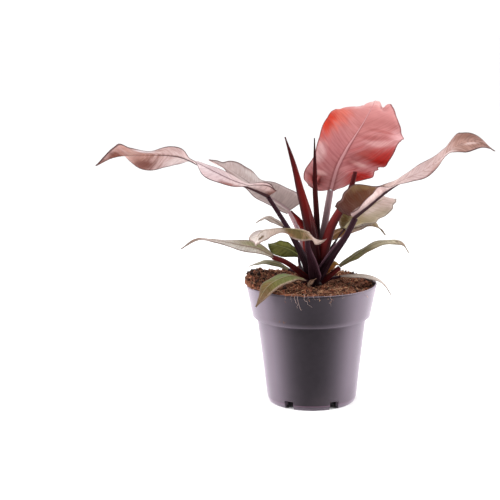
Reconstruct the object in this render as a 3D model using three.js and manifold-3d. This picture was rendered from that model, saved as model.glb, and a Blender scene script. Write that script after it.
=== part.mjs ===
// A self-heading philodendron in a plastic nursery pot: a short crown in potting soil,
// stalked leaves with waved blades around it, and pointed red sheaths standing in the middle.
// Millimetres, +Z up. The origin is the middle of the pot's underside, and the front is -Y.

import * as THREE from "three";
import { mergeVertices } from "three/addons/utils/BufferGeometryUtils.js";
import Module from "manifold-3d";

const wasm = await Module();
wasm.setup();

// Driving dimensions of the pot
const POT_HEIGHT = 110;
const RIM_RADIUS = 60;
const WALL = 1.4;
const COLLAR_FOOT_Z = 80;
const COLLAR_FOOT_RADIUS = 54.3;
const BODY_TOP_RADIUS = 50.2;
const BODY_FOOT_Z = 4;
const BODY_FOOT_RADIUS = 41.4;
const FOOT_RADIUS = 40.2;
const PAD_RADIUS = 18;
const FOOT_RING_WIDTH = 3.7;
const FLOOR_Z = 5;
const POT_SEGMENTS = 48;
const NOTCHES = 6;
const NOTCH_FIRST_DEG = -123;
const NOTCH_WIDTH = 9;
const NOTCH_HEIGHT = 7.5;

// Gap kept between neighbouring solids
const GAP = 0.3;

// Driving dimensions of the plant
const CROWN = { x: 2, y: -4, rootZ: 88, soilZ: 106, topZ: 131, rootRadius: 7.5, radius: 9.5, topRadius: 4.5 };
const BLADE_THICKNESS = 0.7;
const RIB_HEIGHT = 0.9;
const RIB_REACH = 0.3;
// Share of an edge's lift that comes from bending on the way out to it
const BEND = 0.25;

// How far a row of a blade leans towards the tip at the edge, as a share of its half-width, from
// base to tip. The first value is replaced by a leaf's own lobes, where it has them.
const VEIN_LEAN = [-0.4, 0.1, 0.32, 0.45, 0.52, 0.55];

const COLOURS = {
  pot: { color: 0x4b474c, roughness: 0.45, metalness: 0 },
  soil: { color: 0x5a3524, roughness: 0.95, metalness: 0 },
  stalk: { color: 0x3a1a22, roughness: 0.35, metalness: 0 },
  sheath: { color: 0x6e141c, roughness: 0.3, metalness: 0 },
  red: { color: 0xb9504a, roughness: 0.35, metalness: 0 },
  pink: { color: 0xa88a86, roughness: 0.35, metalness: 0 },
  olive: { color: 0x6f6a35, roughness: 0.4, metalness: 0 },
  green: { color: 0x55682a, roughness: 0.4, metalness: 0 },
  dry: { color: 0xb0895f, roughness: 0.8, metalness: 0 },
};

// Each leaf grows at an azimuth, 0 to the right and 90 away from the front. The stalk runs from the
// crown to the blade, and the spine from the blade's base to its tip. Left and right give the two
// halves of the blade as seen along its growth, at even steps from base to tip: the half-width, and
// the angle in degrees by which that half's edge is lifted.
const LEAVES = [
  {
    name: "upright", colour: "red", azimuth: 78, steps: 22, across: 8, lobes: -0.12,
    stalk: [[5, 4, 121], [8, 8, 140], [12.5, 9, 160], [15.7, 10.5, 178], [18.5, 12, 193.8]],
    stalkWidth: [4.4, 2],
    spine: [
      [19, 12, 194.5], [28, 15, 214], [37, 19, 231], [47, 27, 249],
      [56, 42, 266], [62, 62, 271], [66, 82, 266], [69, 102, 253],
    ],
    left: [[26, 35], [30, 14], [34, 4], [36, -4], [35.5, -5], [31, -16], [19, -20], [9, -10], [0.8, 0]],
    right: [[9, 15], [29, 12], [36, -10], [37, 8], [28, -22], [22, -10], [17, -25], [9, -10], [0.8, 0]],
  },
  {
    name: "left_near", colour: "pink", azimuth: 187, steps: 28, across: 6,
    stalk: [[0, -7, 118], [-8, -10, 138], [-20, -14, 161.5], [-29.7, -18, 178], [-39, -22, 193]],
    stalkWidth: [4.8, 2],
    spine: [
      [-39.4, -22, 193.8], [-54.4, -25, 202], [-69.4, -28, 208], [-85, -31, 216], [-99.7, -33, 224],
      [-114, -35, 231], [-129, -37, 233.5], [-144, -38, 234], [-159, -39, 234], [-174, -40, 232],
      [-188.7, -41, 225],
    ],
    left: [
      [9, 60], [15, 20], [18, -8], [20, -14], [20, -14], [19, 18],
      [19, 28], [18, 15], [13, 25], [8, 62], [0.8, 40],
    ],
    right: [
      [11, 60], [16, 8], [18, 12], [20, 8], [20, -4], [19, -30],
      [20, -42], [20, -52], [14, -30], [8, 25], [0.8, 20],
    ],
  },
  {
    name: "right_near", colour: "pink", azimuth: -10, steps: 26, across: 6, lobes: -0.2,
    stalk: [[5, -7, 117], [11, -12, 128], [18.7, -17, 140.5], [29, -21, 156], [37.6, -24, 173.4]],
    stalkWidth: [5, 2.2],
    spine: [
      [37.8, -24, 174], [50, -27, 185], [62, -30, 196], [74, -33, 205], [86, -35, 211],
      [97.5, -37, 217], [109, -39, 225.5], [121, -41, 236], [132, -43, 241.7], [143.5, -45, 241.3],
      [156, -46, 234],
    ],
    left: [
      [22, 84], [26, 78], [15, 55], [14, 12], [17, 12], [18, 16],
      [18, 13], [17, 17], [14, 26], [8, 17], [0.8, 0],
    ],
    right: [
      [14, 60], [14, 65], [15, 25], [16, -3], [17, -11], [18, -14],
      [18, -10], [17, 0], [14, -25], [7, -28], [0.8, 0],
    ],
  },
  {
    name: "left_far", colour: "pink", azimuth: 157, steps: 16, across: 6, lobes: -0.3,
    stalk: [[0, -1, 120], [-6, 10, 142], [-12, 20, 158], [-18.6, 29.5, 171.5]],
    stalkWidth: [4.5, 1.8],
    spine: [
      [-19, 30, 172.2], [-29, 35, 179], [-38.5, 39, 185.4],
      [-55, 46, 196], [-72, 54, 207], [-94, 62, 217.5],
    ],
    left: [[12, -10], [17, -12], [18, -12], [15, -5], [8, 10], [0.8, 30]],
    right: [[18, 62], [21, 38], [20, 20], [16, 22], [8, 45], [0.8, 60]],
  },
  {
    name: "right_far", colour: "olive", azimuth: 35, steps: 14, across: 6, lobes: -0.9,
    stalk: [[6, -3, 118], [17, 9, 136], [25, 16, 148], [32, 21.5, 156]],
    stalkWidth: [4, 1.8],
    spine: [[32.7, 22, 156.8], [44.6, 31, 166.6], [59.7, 41, 174.4], [73, 50, 179.6], [84.4, 58, 178.3]],
    left: [[12, 30], [18, 35], [18, 35], [14, 30], [6, 20], [0.8, 0]],
    right: [[12, -30], [19, -40], [19, -40], [14, -33], [6, -20], [0.8, 0]],
  },
  {
    name: "front", colour: "olive", azimuth: 200, steps: 14, across: 6, lobes: -1.2,
    stalk: [[3, -12, 117], [-0.7, -26, 134.5], [-4.5, -35, 149], [-5, -40, 161]],
    stalkWidth: [4.6, 1.8],
    spine: [
      [-4, -41.5, 162.5], [-12, -46, 166.5], [-23, -50, 168.6],
      [-34, -55, 169.6], [-45.5, -59, 167.7], [-53, -61, 162],
    ],
    left: [[11, 5], [13, -38], [12, -32], [11, -10], [10, -18], [8, -38], [0.8, 0]],
    right: [[11, 10], [13, 5], [13, 0], [12, 5], [10, 15], [5, 10], [0.8, 0]],
  },
  {
    name: "left_low", colour: "olive", azimuth: 189, steps: 16, across: 6,
    stalk: [[0, -8, 112], [-14, -14, 126], [-25, -17, 134], [-35.5, -20, 138.5]],
    stalkWidth: [4.4, 1.7], stalkColour: "sheath",
    spine: [
      [-36.3, -20, 139], [-49, -22, 146], [-62, -25, 149.5], [-75.5, -28, 153],
      [-88.7, -31, 156.3], [-102.7, -34, 158], [-117, -36, 149.5],
    ],
    left: [[4, -10], [10, -20], [11, -18], [10, -12], [8, -3], [5, -5], [0.8, 0]],
    right: [[4, 30], [10, 30], [11, 20], [10, 8], [8, -6], [5, -5], [0.8, 0]],
  },
  {
    name: "right_low", colour: "green", azimuth: -5, steps: 14, across: 6,
    stalk: [[6, -6, 111], [14, -9, 117], [20, -10, 122], [25, -10, 126.3]],
    stalkWidth: [4, 1.5], stalkColour: "sheath",
    spine: [
      [25.6, -10, 127.2], [35.5, -11, 133.8], [45.3, -12, 141.2], [57.8, -13, 147.7],
      [70.3, -14, 150.4], [81.2, -14, 148.5], [87.5, -15, 139.4],
    ],
    left: [[3, 30], [8, 20], [9, 5], [9, 5], [7, 0], [4, 0], [0.8, 0]],
    right: [[3, -10], [8, -25], [9, -20], [9, -15], [7, -15], [4, -20], [0.8, 0]],
  },
  {
    name: "back_right", colour: "olive", azimuth: 28, steps: 12, across: 6,
    stalk: [[5, 6, 117], [9, 11.5, 130], [13.5, 15.5, 141], [17, 16.8, 147]],
    stalkWidth: [3, 1.4],
    spine: [[17.4, 17, 147.5], [29, 22, 154], [42.4, 27, 155], [57, 33, 155.2], [72, 38, 147]],
    left: [[4, 10], [9, 15], [8, 10], [4, 0], [0.8, 0]],
    right: [[4, -20], [10, -40], [8, -35], [5, -20], [0.8, 0]],
  },
  {
    name: "back_left", colour: "pink", azimuth: 152, steps: 10, across: 6,
    stalk: [[-3, 1, 120], [-11, 20, 141], [-18, 29, 151], [-24.2, 33.7, 157]],
    stalkWidth: [3, 1.3],
    spine: [[-24.7, 34, 157.4], [-32, 38, 161.7], [-40.5, 42, 165], [-50, 46, 158.7]],
    left: [[3, -10], [6, -10], [6, -10], [0.8, 0]],
    right: [[3, 10], [6, 10], [6, 0], [0.8, 0]],
  },
  {
    name: "green", colour: "green", azimuth: 155, steps: 12, across: 6,
    stalk: [[-4, -1, 113], [-9, 6, 122], [-10.5, 11, 128], [-10.6, 13.7, 132.5]],
    stalkWidth: [2.8, 1.3],
    spine: [[-10.8, 14, 133.3], [-18.8, 17, 137.6], [-29, 21, 140.3], [-39, 26, 142]],
    left: [[4, -50], [9, -50], [10, -45], [7, -40], [0.8, 0]],
    right: [[4, 40], [9, 35], [9, 35], [6, 30], [0.8, 0]],
  },
  {
    name: "left_drooping", colour: "green", azimuth: 222, steps: 14, across: 6,
    stalk: [[0, -10, 110.5], [-4, -17.5, 115], [-8, -21.5, 117.6]],
    stalkWidth: [3, 1.5],
    spine: [
      [-8.6, -22, 118.1], [-19.7, -31, 122.9], [-31.6, -41, 121.5],
      [-42.4, -50, 115.5], [-51.4, -56, 101],
    ],
    left: [[4, -15], [9, -20], [10, -25], [7, -20], [0.8, 0]],
    right: [[4, 10], [9, 5], [10, 0], [7, 0], [0.8, 0]],
  },
  {
    name: "right_drooping", colour: "pink", azimuth: 6, steps: 12, across: 6,
    stalk: [[8, -8, 111.5], [17, -8, 115.5], [26, -7.2, 117]],
    stalkWidth: [2.8, 1.4],
    spine: [
      [26.8, -7, 117.3], [37, -6, 118.4], [48, -4, 117.6],
      [58.4, -2, 114.5], [67, 0, 108], [73.7, 2, 97],
    ],
    left: [[3, -5], [7, -12], [8, -15], [6, -15], [4, -10], [0.8, 0]],
    right: [[3, 5], [7, 8], [8, 8], [7, 5], [4, 0], [0.8, 0]],
  },
  {
    name: "left_soil", colour: "olive", azimuth: 165, steps: 10, across: 6,
    stalk: [[-6, 0, 113], [-13, 9, 118.5], [-20, 15.5, 119.3]],
    stalkWidth: [2.6, 1.3],
    spine: [[-20.8, 16, 119.6], [-31, 18, 124.5], [-43, 22, 126], [-57, 28, 120.5]],
    left: [[3, -10], [6, -15], [6, -10], [0.8, 0]],
    right: [[3, 10], [6, 10], [6, 0], [0.8, 0]],
  },
];

// Dried scraps at the foot of the crown, made like small blades that grow from it directly
const SCRAPS = [
  {
    name: "dry_bract", colour: "dry", azimuth: 245, steps: 8, across: 4,
    spine: [[4, -14.5, 114], [3, -18, 116.5], [1, -21.5, 116], [-1, -25, 112]],
    left: [[2, 20], [5, 10], [4, 0], [0.8, 0]],
    right: [[2, 20], [5, 10], [4, 0], [0.8, 0]],
  },
  {
    name: "dry_sheath", colour: "dry", azimuth: 20, steps: 8, across: 4,
    spine: [[11.5, -1.5, 117], [17, 2.5, 124.5], [22, 5.5, 128], [28, 8, 123]],
    left: [[2, 40], [5, 30], [5, 20], [0.8, 0]],
    right: [[2, -40], [5, -45], [5, -40], [0.8, 0]],
  },
];

// Pointed sheaths: the middle line from the crown to the point, and half-widths at even steps along it
const SPEARS = [
  {
    name: "spear_tall", azimuth: 0, radii: [7.5, 6.8, 5.7, 4.5, 3.3, 2.1, 0.6],
    line: [
      [3, -5, 126], [-0.2, -6, 158], [-3.6, -6, 173],
      [-9.8, -6, 196], [-15, -6, 217], [-23.5, -6, 244.6],
    ],
  },
  {
    name: "spear_thin", azimuth: 0, radii: [3.4, 3.2, 2.6, 1.9, 0.5],
    line: [[5, 1.5, 124], [5.6, 5, 165.5], [3.9, 5.5, 195], [3.7, 6, 218], [3.5, 6, 242.3]],
  },
  {
    name: "spear_right", azimuth: 0, radii: [5.2, 4.6, 3.8, 2.7, 1],
    line: [
      [7, -4, 122], [17.5, -2, 161], [24, -2, 173.5],
      [30.3, -3, 183.4], [35.7, -5, 196], [40.2, -6.5, 210],
    ],
  },
  {
    name: "sheath_left", azimuth: 0, radii: [3.6, 4, 4, 3, 0.8],
    line: [[-3, -2, 124], [-5.5, 2, 157], [-11.8, 4, 168], [-18, 6, 176]],
  },
];

// Small helpers

const rad = THREE.MathUtils.degToRad;
const vector = (p) => new THREE.Vector3(...p);

// A value at share t of the way along a list of values set at even steps, smoothly joined
function evenly(values, t) {
  const last = values.length - 1;
  const place = Math.min(Math.max(t, 0), 1) * last;
  const i = Math.min(Math.floor(place), last - 1);
  const f = place - i;
  const [a, b, c, d] = [i - 1, i, i + 1, i + 2].map((k) => values[Math.min(Math.max(k, 0), last)]);
  return b + 0.5 * f * (c - a + f * (2 * a - 5 * b + 4 * c - d + f * (3 * (b - c) + d - a)));
}

// A closed geometry as a solid that can be joined and cut
function solidOf(geometry) {
  const bare = geometry.clone();
  bare.deleteAttribute("normal");
  bare.deleteAttribute("uv");
  const merged = mergeVertices(bare, 1e-4);
  return new wasm.Manifold(
    new wasm.Mesh({
      numProp: 3,
      vertProperties: new Float32Array(merged.attributes.position.array),
      triVerts: new Uint32Array(merged.index.array),
    }),
  );
}

// A solid as a flat-shaded mesh with its name and colour
function meshOf(name, solid, colour) {
  const mesh = solid.getMesh();
  const geometry = new THREE.BufferGeometry();
  geometry.setAttribute("position", new THREE.BufferAttribute(new Float32Array(mesh.vertProperties), 3));
  geometry.setIndex(new THREE.BufferAttribute(new Uint32Array(mesh.triVerts), 1));
  const flat = geometry.toNonIndexed();
  flat.computeVertexNormals();
  const made = new THREE.Mesh(flat, new THREE.MeshStandardMaterial(COLOURS[colour]));
  made.name = name;
  return made;
}

// The largest body of a solid, so that a loose scrap left by a cut is dropped
function largest(solid) {
  return solid.decompose().reduce((a, b) => (b.volume() > a.volume() ? b : a));
}

// A closed geometry from rings of points, each ring as long as the next, with both ends capped
function closeRings(rings) {
  const size = rings[0].length;
  const points = rings.flat().flatMap((p) => [p.x, p.y, p.z]);
  const index = [];
  for (let i = 0; i + 1 < rings.length; i++) {
    for (let j = 0; j < size; j++) {
      const a = i * size + j;
      const b = i * size + ((j + 1) % size);
      index.push(a, b, b + size, a, b + size, a + size);
    }
  }
  for (const [ring, turn] of [[0, false], [rings.length - 1, true]]) {
    const middle = rings[ring].reduce((sum, p) => sum.add(p), new THREE.Vector3()).divideScalar(size);
    const m = points.length / 3;
    points.push(middle.x, middle.y, middle.z);
    for (let j = 0; j < size; j++) {
      const a = ring * size + j;
      const b = ring * size + ((j + 1) % size);
      index.push(...(turn ? [m, a, b] : [m, b, a]));
    }
  }
  const geometry = new THREE.BufferGeometry();
  geometry.setAttribute("position", new THREE.Float32BufferAttribute(points, 3));
  geometry.setIndex(index);
  return geometry;
}

// The tangent, side and face directions at a place on a line that grows at an azimuth
function framesOn(curve, azimuth, share) {
  const tangent = curve.getTangentAt(Math.min(Math.max(share, 0), 1));
  const side = new THREE.Vector3(Math.sin(rad(azimuth)), -Math.cos(rad(azimuth)), 0);
  side.addScaledVector(tangent, -side.dot(tangent)).normalize();
  const face = new THREE.Vector3().crossVectors(side, tangent);
  return { tangent, side, face };
}

// A tapering stem along a line, with its half-widths at even steps, flatter on its upper side
function stem(line, radii, azimuth, { sides = 8, steps = 6, flat = 0.7, grow = 0 } = {}) {
  const curve = new THREE.CatmullRomCurve3(line.map(vector), false, "centripetal");
  const rings = [];
  for (let i = 0; i <= steps; i++) {
    const share = i / steps;
    const { tangent, side, face } = framesOn(curve, azimuth, share);
    const middle = curve.getPointAt(share);
    if (grow && i === 0) middle.addScaledVector(tangent, -grow);
    if (grow && i === steps) middle.addScaledVector(tangent, grow);
    const radius = evenly(radii, share) + grow * 1.15;
    const ring = [];
    for (let j = 0; j < sides; j++) {
      const a = ((j + 0.5) / sides) * 2 * Math.PI;
      const high = Math.sin(a) * (Math.sin(a) > 0 ? flat : 1);
      const place = middle.clone().addScaledVector(side, -Math.cos(a) * radius);
      ring.push(place.addScaledVector(face, high * radius));
    }
    rings.push(ring);
  }
  return solidOf(closeRings(rings));
}

// The pot

// Outer and inner wall as one closed outline of radius and height, turned round the axis
function potShell() {
  const slope = (COLLAR_FOOT_RADIUS - RIM_RADIUS) / (COLLAR_FOOT_Z - POT_HEIGHT);
  const innerRim = RIM_RADIUS - WALL;
  const ledgeZ = COLLAR_FOOT_Z + WALL;
  const ringInner = FOOT_RADIUS - FOOT_RING_WIDTH;
  const outline = [
    [0, 0], [PAD_RADIUS, 0], [PAD_RADIUS + 1, FLOOR_Z], [ringInner - 0.6, FLOOR_Z], [ringInner, 0],
    [FOOT_RADIUS, 0], [BODY_FOOT_RADIUS, BODY_FOOT_Z], [BODY_TOP_RADIUS, COLLAR_FOOT_Z],
    [COLLAR_FOOT_RADIUS - 0.7, COLLAR_FOOT_Z], [COLLAR_FOOT_RADIUS, COLLAR_FOOT_Z + 0.9],
    [RIM_RADIUS - slope * 2, POT_HEIGHT - 2], [RIM_RADIUS, POT_HEIGHT - 0.7], [RIM_RADIUS - 0.4, POT_HEIGHT],
    [innerRim, POT_HEIGHT], [COLLAR_FOOT_RADIUS - WALL, ledgeZ + 1], [BODY_TOP_RADIUS - WALL, ledgeZ],
    [BODY_FOOT_RADIUS - WALL, FLOOR_Z + WALL], [PAD_RADIUS + 1 - WALL, FLOOR_Z + WALL],
    [PAD_RADIUS - WALL, WALL], [0, WALL],
  ];
  const shape = outline.map(([r, z]) => new THREE.Vector2(r, z));
  return solidOf(new THREE.LatheGeometry(shape, POT_SEGMENTS).rotateX(Math.PI / 2));
}

// Drain notches through the foot ring and the lowest edge of the wall
function pot() {
  let made = potShell();
  for (let i = 0; i < NOTCHES; i++) {
    const reach = FOOT_RADIUS - PAD_RADIUS;
    const notch = new THREE.BoxGeometry(reach, NOTCH_WIDTH, NOTCH_HEIGHT * 2)
      .translate(FOOT_RADIUS - FOOT_RING_WIDTH - 2 + reach / 2, 0, 0)
      .rotateZ(rad(NOTCH_FIRST_DEG + (i * 360) / NOTCHES));
    made = made.subtract(solidOf(notch));
  }
  return largest(made);
}

// The soil

// Height of a crumbly surface above its general level, from a few crossing waves
function crumbs(x, y) {
  return (
    0.9 * Math.sin(0.31 * x + 1.3) * Math.cos(0.27 * y + 0.4) +
    0.8 * Math.sin(0.55 * y - 0.21 * x) +
    0.6 * Math.cos(0.83 * x + 0.35 * y + 2)
  );
}

// How strongly a spot at an angle belongs to a heap at another angle, 1 in its middle and 0 past its spread
function heap(angle, middleDeg, spreadDeg) {
  const apart = Math.abs(((THREE.MathUtils.radToDeg(angle) - middleDeg + 540) % 360) - 180);
  return apart < spreadDeg ? 0.5 + 0.5 * Math.cos((apart / spreadDeg) * Math.PI) : 0;
}

// The soil's top: near the rim's level, heaped up at the left and against the crown
function soilHeight(x, y) {
  const angle = Math.atan2(y, x);
  const out = Math.hypot(x, y) / RIM_RADIUS;
  const left = heap(angle, 165, 75) * 9 * THREE.MathUtils.smoothstep(out, 0.35, 0.85);
  const back = heap(angle, 75, 60) * 6 * out;
  const hollow = heap(angle, -5, 45) * 3 * THREE.MathUtils.smoothstep(out, 0.3, 0.8);
  const middle = 3 * (1 - THREE.MathUtils.smoothstep(out, 0, 0.45));
  return 107.5 + left + back - hollow + middle + crumbs(x, y);
}

// The pot's inner radius at a height within the collar
function innerRadius(z) {
  const foot = COLLAR_FOOT_Z + WALL + 1;
  const share = (z - foot) / (POT_HEIGHT - foot);
  return COLLAR_FOOT_RADIUS - WALL + share * (RIM_RADIUS - COLLAR_FOOT_RADIUS);
}

// Closed body that fills the pot and spills over the rim at the left and a little at the front
function soil() {
  const topShares = [0.17, 0.33, 0.48, 0.62, 0.75, 0.86, 0.95];
  const ledgeZ = COLLAR_FOOT_Z + WALL;
  const inside = [
    [innerRadius(POT_HEIGHT - 3) - GAP, POT_HEIGHT - 3], [innerRadius(ledgeZ + 3) - GAP, ledgeZ + 3],
    [COLLAR_FOOT_RADIUS - WALL - GAP - 0.2, ledgeZ + 1 + GAP + 0.1],
    [BODY_TOP_RADIUS - WALL - GAP, ledgeZ + GAP], [BODY_FOOT_RADIUS - WALL - GAP, FLOOR_Z + WALL + GAP],
    [PAD_RADIUS + 1 - WALL - GAP, FLOOR_Z + WALL + GAP], [PAD_RADIUS - WALL - GAP, WALL + GAP],
  ];
  const rings = [];
  const ring = (at) => {
    const made = [];
    for (let j = 0; j < POT_SEGMENTS; j++) {
      const angle = (j / POT_SEGMENTS) * 2 * Math.PI + Math.PI / 2;
      const [r, z] = at(angle);
      made.push(new THREE.Vector3(Math.cos(angle) * r, Math.sin(angle) * r, z));
    }
    rings.push(made);
  };
  const onTop = (angle, r) => [r, soilHeight(Math.cos(angle) * r, Math.sin(angle) * r)];
  const spill = (angle) => Math.min(1, heap(angle, 172, 62) + 0.6 * heap(angle, -108, 26));
  const edge = RIM_RADIUS - WALL - GAP;
  for (const share of topShares) ring((angle) => onTop(angle, share * edge));
  ring((angle) => {
    const over = spill(angle);
    const [r, z] = onTop(angle, edge + over * 2.5);
    if (over > 0) return [r, Math.max(z - 1, POT_HEIGHT + 1.6)];
    return [innerRadius(POT_HEIGHT - 0.5) - GAP, Math.min(z, POT_HEIGHT - 0.5)];
  });
  ring((angle) => {
    const over = spill(angle);
    if (over > 0) return [edge + over * 3.2, POT_HEIGHT + 0.5];
    return [innerRadius(POT_HEIGHT - 1.2) - GAP, POT_HEIGHT - 1.2];
  });
  ring((angle) => {
    const z = spill(angle) > 0 ? POT_HEIGHT + 0.4 : POT_HEIGHT - 1.6;
    return [innerRadius(Math.min(z, POT_HEIGHT - 1)) - GAP, z];
  });
  for (const place of inside) ring(() => place);
  return solidOf(closeRings(rings.map((r) => r.slice().reverse())));
}

// The plant

// The crown: a short column that stands in a plain hole in the soil and narrows upwards
function crown(grow = 0) {
  const { rootZ, soilZ, topZ, rootRadius, radius, topRadius } = CROWN;
  const outline = [
    [0, rootZ - grow], [rootRadius + grow, rootZ - grow], [radius + grow, soilZ], [radius + grow, soilZ + 5],
    [topRadius + 1.5 + grow, topZ - 6], [topRadius + grow, topZ], [0, topZ + 1.5 + grow],
  ].map(([r, z]) => new THREE.Vector2(r, z));
  return solidOf(
    new THREE.LatheGeometry(outline, 16).rotateX(Math.PI / 2).translate(CROWN.x, CROWN.y, 0),
  );
}

// The middle surface of a blade at share t along it and v across it, from -1 at the left edge to 1
// at the right. Each half bends in an arc up or down to its edge, and rows follow the side veins.
function bladePlace(leaf, curve, t, v) {
  const out = Math.abs(v);
  const edge = v < 0 ? leaf.left : leaf.right;
  const half = evenly(edge.map(([width]) => width), t);
  const lean = evenly([leaf.lobes ?? VEIN_LEAN[0], ...VEIN_LEAN.slice(1)], t) * half * out ** 1.6;
  const length = curve.getLength();
  const along = t + lean / length;
  const share = Math.min(Math.max(along, 0), 1);
  const { tangent, side, face } = framesOn(curve, leaf.azimuth, share);
  const lift = rad(evenly(edge.map(([, angle]) => angle), along));
  const bend = lift * BEND * out;
  const angle = lift * (1 - BEND) + bend;
  const reach = half * v * (Math.abs(bend) > 1e-6 ? Math.sin(bend) / bend : 1);
  return curve
    .getPointAt(share)
    .addScaledVector(tangent, (along - share) * length)
    .addScaledVector(side, reach * Math.cos(angle))
    .addScaledVector(face, Math.abs(reach) * Math.sin(angle));
}

// A blade as a thin closed body: the same grid of points on both faces, joined along the edge
function blade(leaf) {
  const curve = new THREE.CatmullRomCurve3(leaf.spine.map(vector), false, "centripetal");
  const place = (t, v) => bladePlace(leaf, curve, t, v);
  const { steps, across } = leaf;
  const middle = [];
  for (let i = 0; i <= steps; i++) {
    middle.push(Array.from({ length: across + 1 }, (_, j) => place(i / steps, (2 * j) / across - 1)));
  }
  const faces = { upper: [], lower: [] };
  for (let i = 0; i <= steps; i++) {
    for (let j = 0; j <= across; j++) {
      const along = middle[Math.min(i + 1, steps)][j].clone().sub(middle[Math.max(i - 1, 0)][j]);
      const aside = middle[i][Math.min(j + 1, across)].clone().sub(middle[i][Math.max(j - 1, 0)]);
      const out = aside.cross(along).normalize();
      const v = Math.abs((2 * j) / across - 1);
      const rib = RIB_HEIGHT * Math.max(0, 1 - v / RIB_REACH) * (1 - (0.8 * i) / steps);
      faces.upper.push(middle[i][j].clone().addScaledVector(out, BLADE_THICKNESS / 2));
      faces.lower.push(middle[i][j].clone().addScaledVector(out, -BLADE_THICKNESS / 2 - rib));
    }
  }
  const row = across + 1;
  const count = faces.upper.length;
  const index = [];
  const quad = (a, b, c, d) => index.push(a, b, c, a, c, d);
  const quadBelow = (a, b, c, d) => index.push(a, c, b, a, d, c);
  for (let i = 0; i < steps; i++) {
    for (let j = 0; j < across; j++) {
      const a = i * row + j;
      const b = count + a;
      quad(a, a + 1, a + row + 1, a + row);
      quadBelow(b, b + 1, b + row + 1, b + row);
    }
    const left = i * row;
    const right = left + across;
    quad(left, left + row, count + left + row, count + left);
    quad(right, count + right, count + right + row, right + row);
  }
  for (let j = 0; j < across; j++) {
    const tip = steps * row + j;
    quad(j, count + j, count + j + 1, j + 1);
    quad(tip, tip + 1, count + tip + 1, count + tip);
  }
  const geometry = new THREE.BufferGeometry();
  const points = [...faces.upper, ...faces.lower].flatMap((p) => [p.x, p.y, p.z]);
  geometry.setAttribute("position", new THREE.Float32BufferAttribute(points, 3));
  geometry.setIndex(index);
  return solidOf(geometry);
}

// Half-widths of a stalk: a broad sheathing foot, then slender up to the blade
const stalkRadii = ([foot, top]) => [foot, foot * 0.8, (foot + top) * 0.42, top * 1.1, top];

// Assembly: what grows inside is placed first, and each later piece is cut clear of the earlier ones

const plant = new THREE.Group();
const placed = [{ solid: crown(), cutter: crown(GAP) }];

function addClear(name, solid, cutter, colour) {
  let clear = solid;
  for (const earlier of placed) clear = clear.subtract(earlier.cutter);
  const kept = largest(clear);
  placed.push({ solid: kept, cutter });
  plant.add(meshOf(name, kept, colour));
}

plant.add(meshOf("pot", pot(), "pot"));
plant.add(meshOf("crown", placed[0].solid, "stalk"));

for (const { name, azimuth, line, radii } of SPEARS) {
  const shape = { steps: 8, flat: 1 };
  const cutter = stem(line, radii, azimuth, { ...shape, grow: GAP });
  addClear(name, stem(line, radii, azimuth, shape), cutter, "sheath");
}
for (const leaf of LEAVES) {
  const radii = stalkRadii(leaf.stalkWidth);
  addClear(
    leaf.name + "_stalk",
    stem(leaf.stalk, radii, leaf.azimuth),
    stem(leaf.stalk, radii, leaf.azimuth, { grow: GAP }),
    leaf.stalkColour ?? "stalk",
  );
}
let bed = soil();
for (const { cutter } of placed) bed = bed.subtract(cutter);
plant.add(meshOf("soil", largest(bed), "soil"));

const blades = [...LEAVES.map((leaf) => ({ ...leaf, name: leaf.name + "_blade" })), ...SCRAPS];
for (const leaf of blades) {
  let clear = blade(leaf);
  for (const earlier of placed) clear = clear.subtract(earlier.cutter);
  plant.add(meshOf(leaf.name, largest(clear), leaf.colour));
}

export default plant;
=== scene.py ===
"""Looks of a potted sunlight philodendron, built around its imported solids.

Metres, +Z up, the front is -Y. The leaves repeat the driving lists of the solids in millimetres, so
each fine blade and stalk lies where its solid is, and adds veins, pleats, ribs and soft margins.
"""

import math

import bmesh
import bpy
import numpy as np
from mathutils import Euler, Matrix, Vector, noise


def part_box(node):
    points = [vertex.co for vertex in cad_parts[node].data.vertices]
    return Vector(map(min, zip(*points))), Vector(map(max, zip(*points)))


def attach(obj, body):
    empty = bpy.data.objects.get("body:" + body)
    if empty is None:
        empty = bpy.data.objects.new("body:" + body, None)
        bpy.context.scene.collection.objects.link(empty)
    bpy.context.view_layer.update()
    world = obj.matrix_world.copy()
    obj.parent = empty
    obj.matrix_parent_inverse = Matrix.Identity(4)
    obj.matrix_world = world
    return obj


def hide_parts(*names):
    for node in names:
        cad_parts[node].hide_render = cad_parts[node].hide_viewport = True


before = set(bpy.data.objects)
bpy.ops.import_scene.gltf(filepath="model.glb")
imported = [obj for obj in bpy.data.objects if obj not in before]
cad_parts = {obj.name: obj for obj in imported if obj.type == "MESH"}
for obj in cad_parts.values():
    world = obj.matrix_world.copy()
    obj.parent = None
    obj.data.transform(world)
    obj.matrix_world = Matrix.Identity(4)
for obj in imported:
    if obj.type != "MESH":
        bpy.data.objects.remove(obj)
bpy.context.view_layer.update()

bl_info = {
    "name": "Potted philodendron",
    "version": (1, 0, 0),
    "blender": (4, 5, 0),
    "location": "View3D > Sidebar > Plant",
    "description": "Builds a self-heading philodendron in its nursery pot, leaf by leaf",
    "category": "Add Mesh",
}

BODY = "root"
MM = 0.001

# Pot in millimetres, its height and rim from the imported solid
POT_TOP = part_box("pot")[1]
POT_HEIGHT = POT_TOP.z / MM
RIM_RADIUS = POT_TOP.x / MM
WALL = 1.4
COLLAR_FOOT_Z = 80
COLLAR_FOOT_RADIUS = 54.3
BODY_TOP_RADIUS = 50.2
BODY_FOOT_Z = 4
BODY_FOOT_RADIUS = 41.4
FOOT_RADIUS = 40.2
PAD_RADIUS = 18
FOOT_RING_WIDTH = 3.7
FLOOR_Z = 5
NOTCHES = 6
NOTCH_FIRST_DEG = -123
NOTCH_WIDTH = 9
NOTCH_HEIGHT = 7.5
SHARP_DEG = 38

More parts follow.
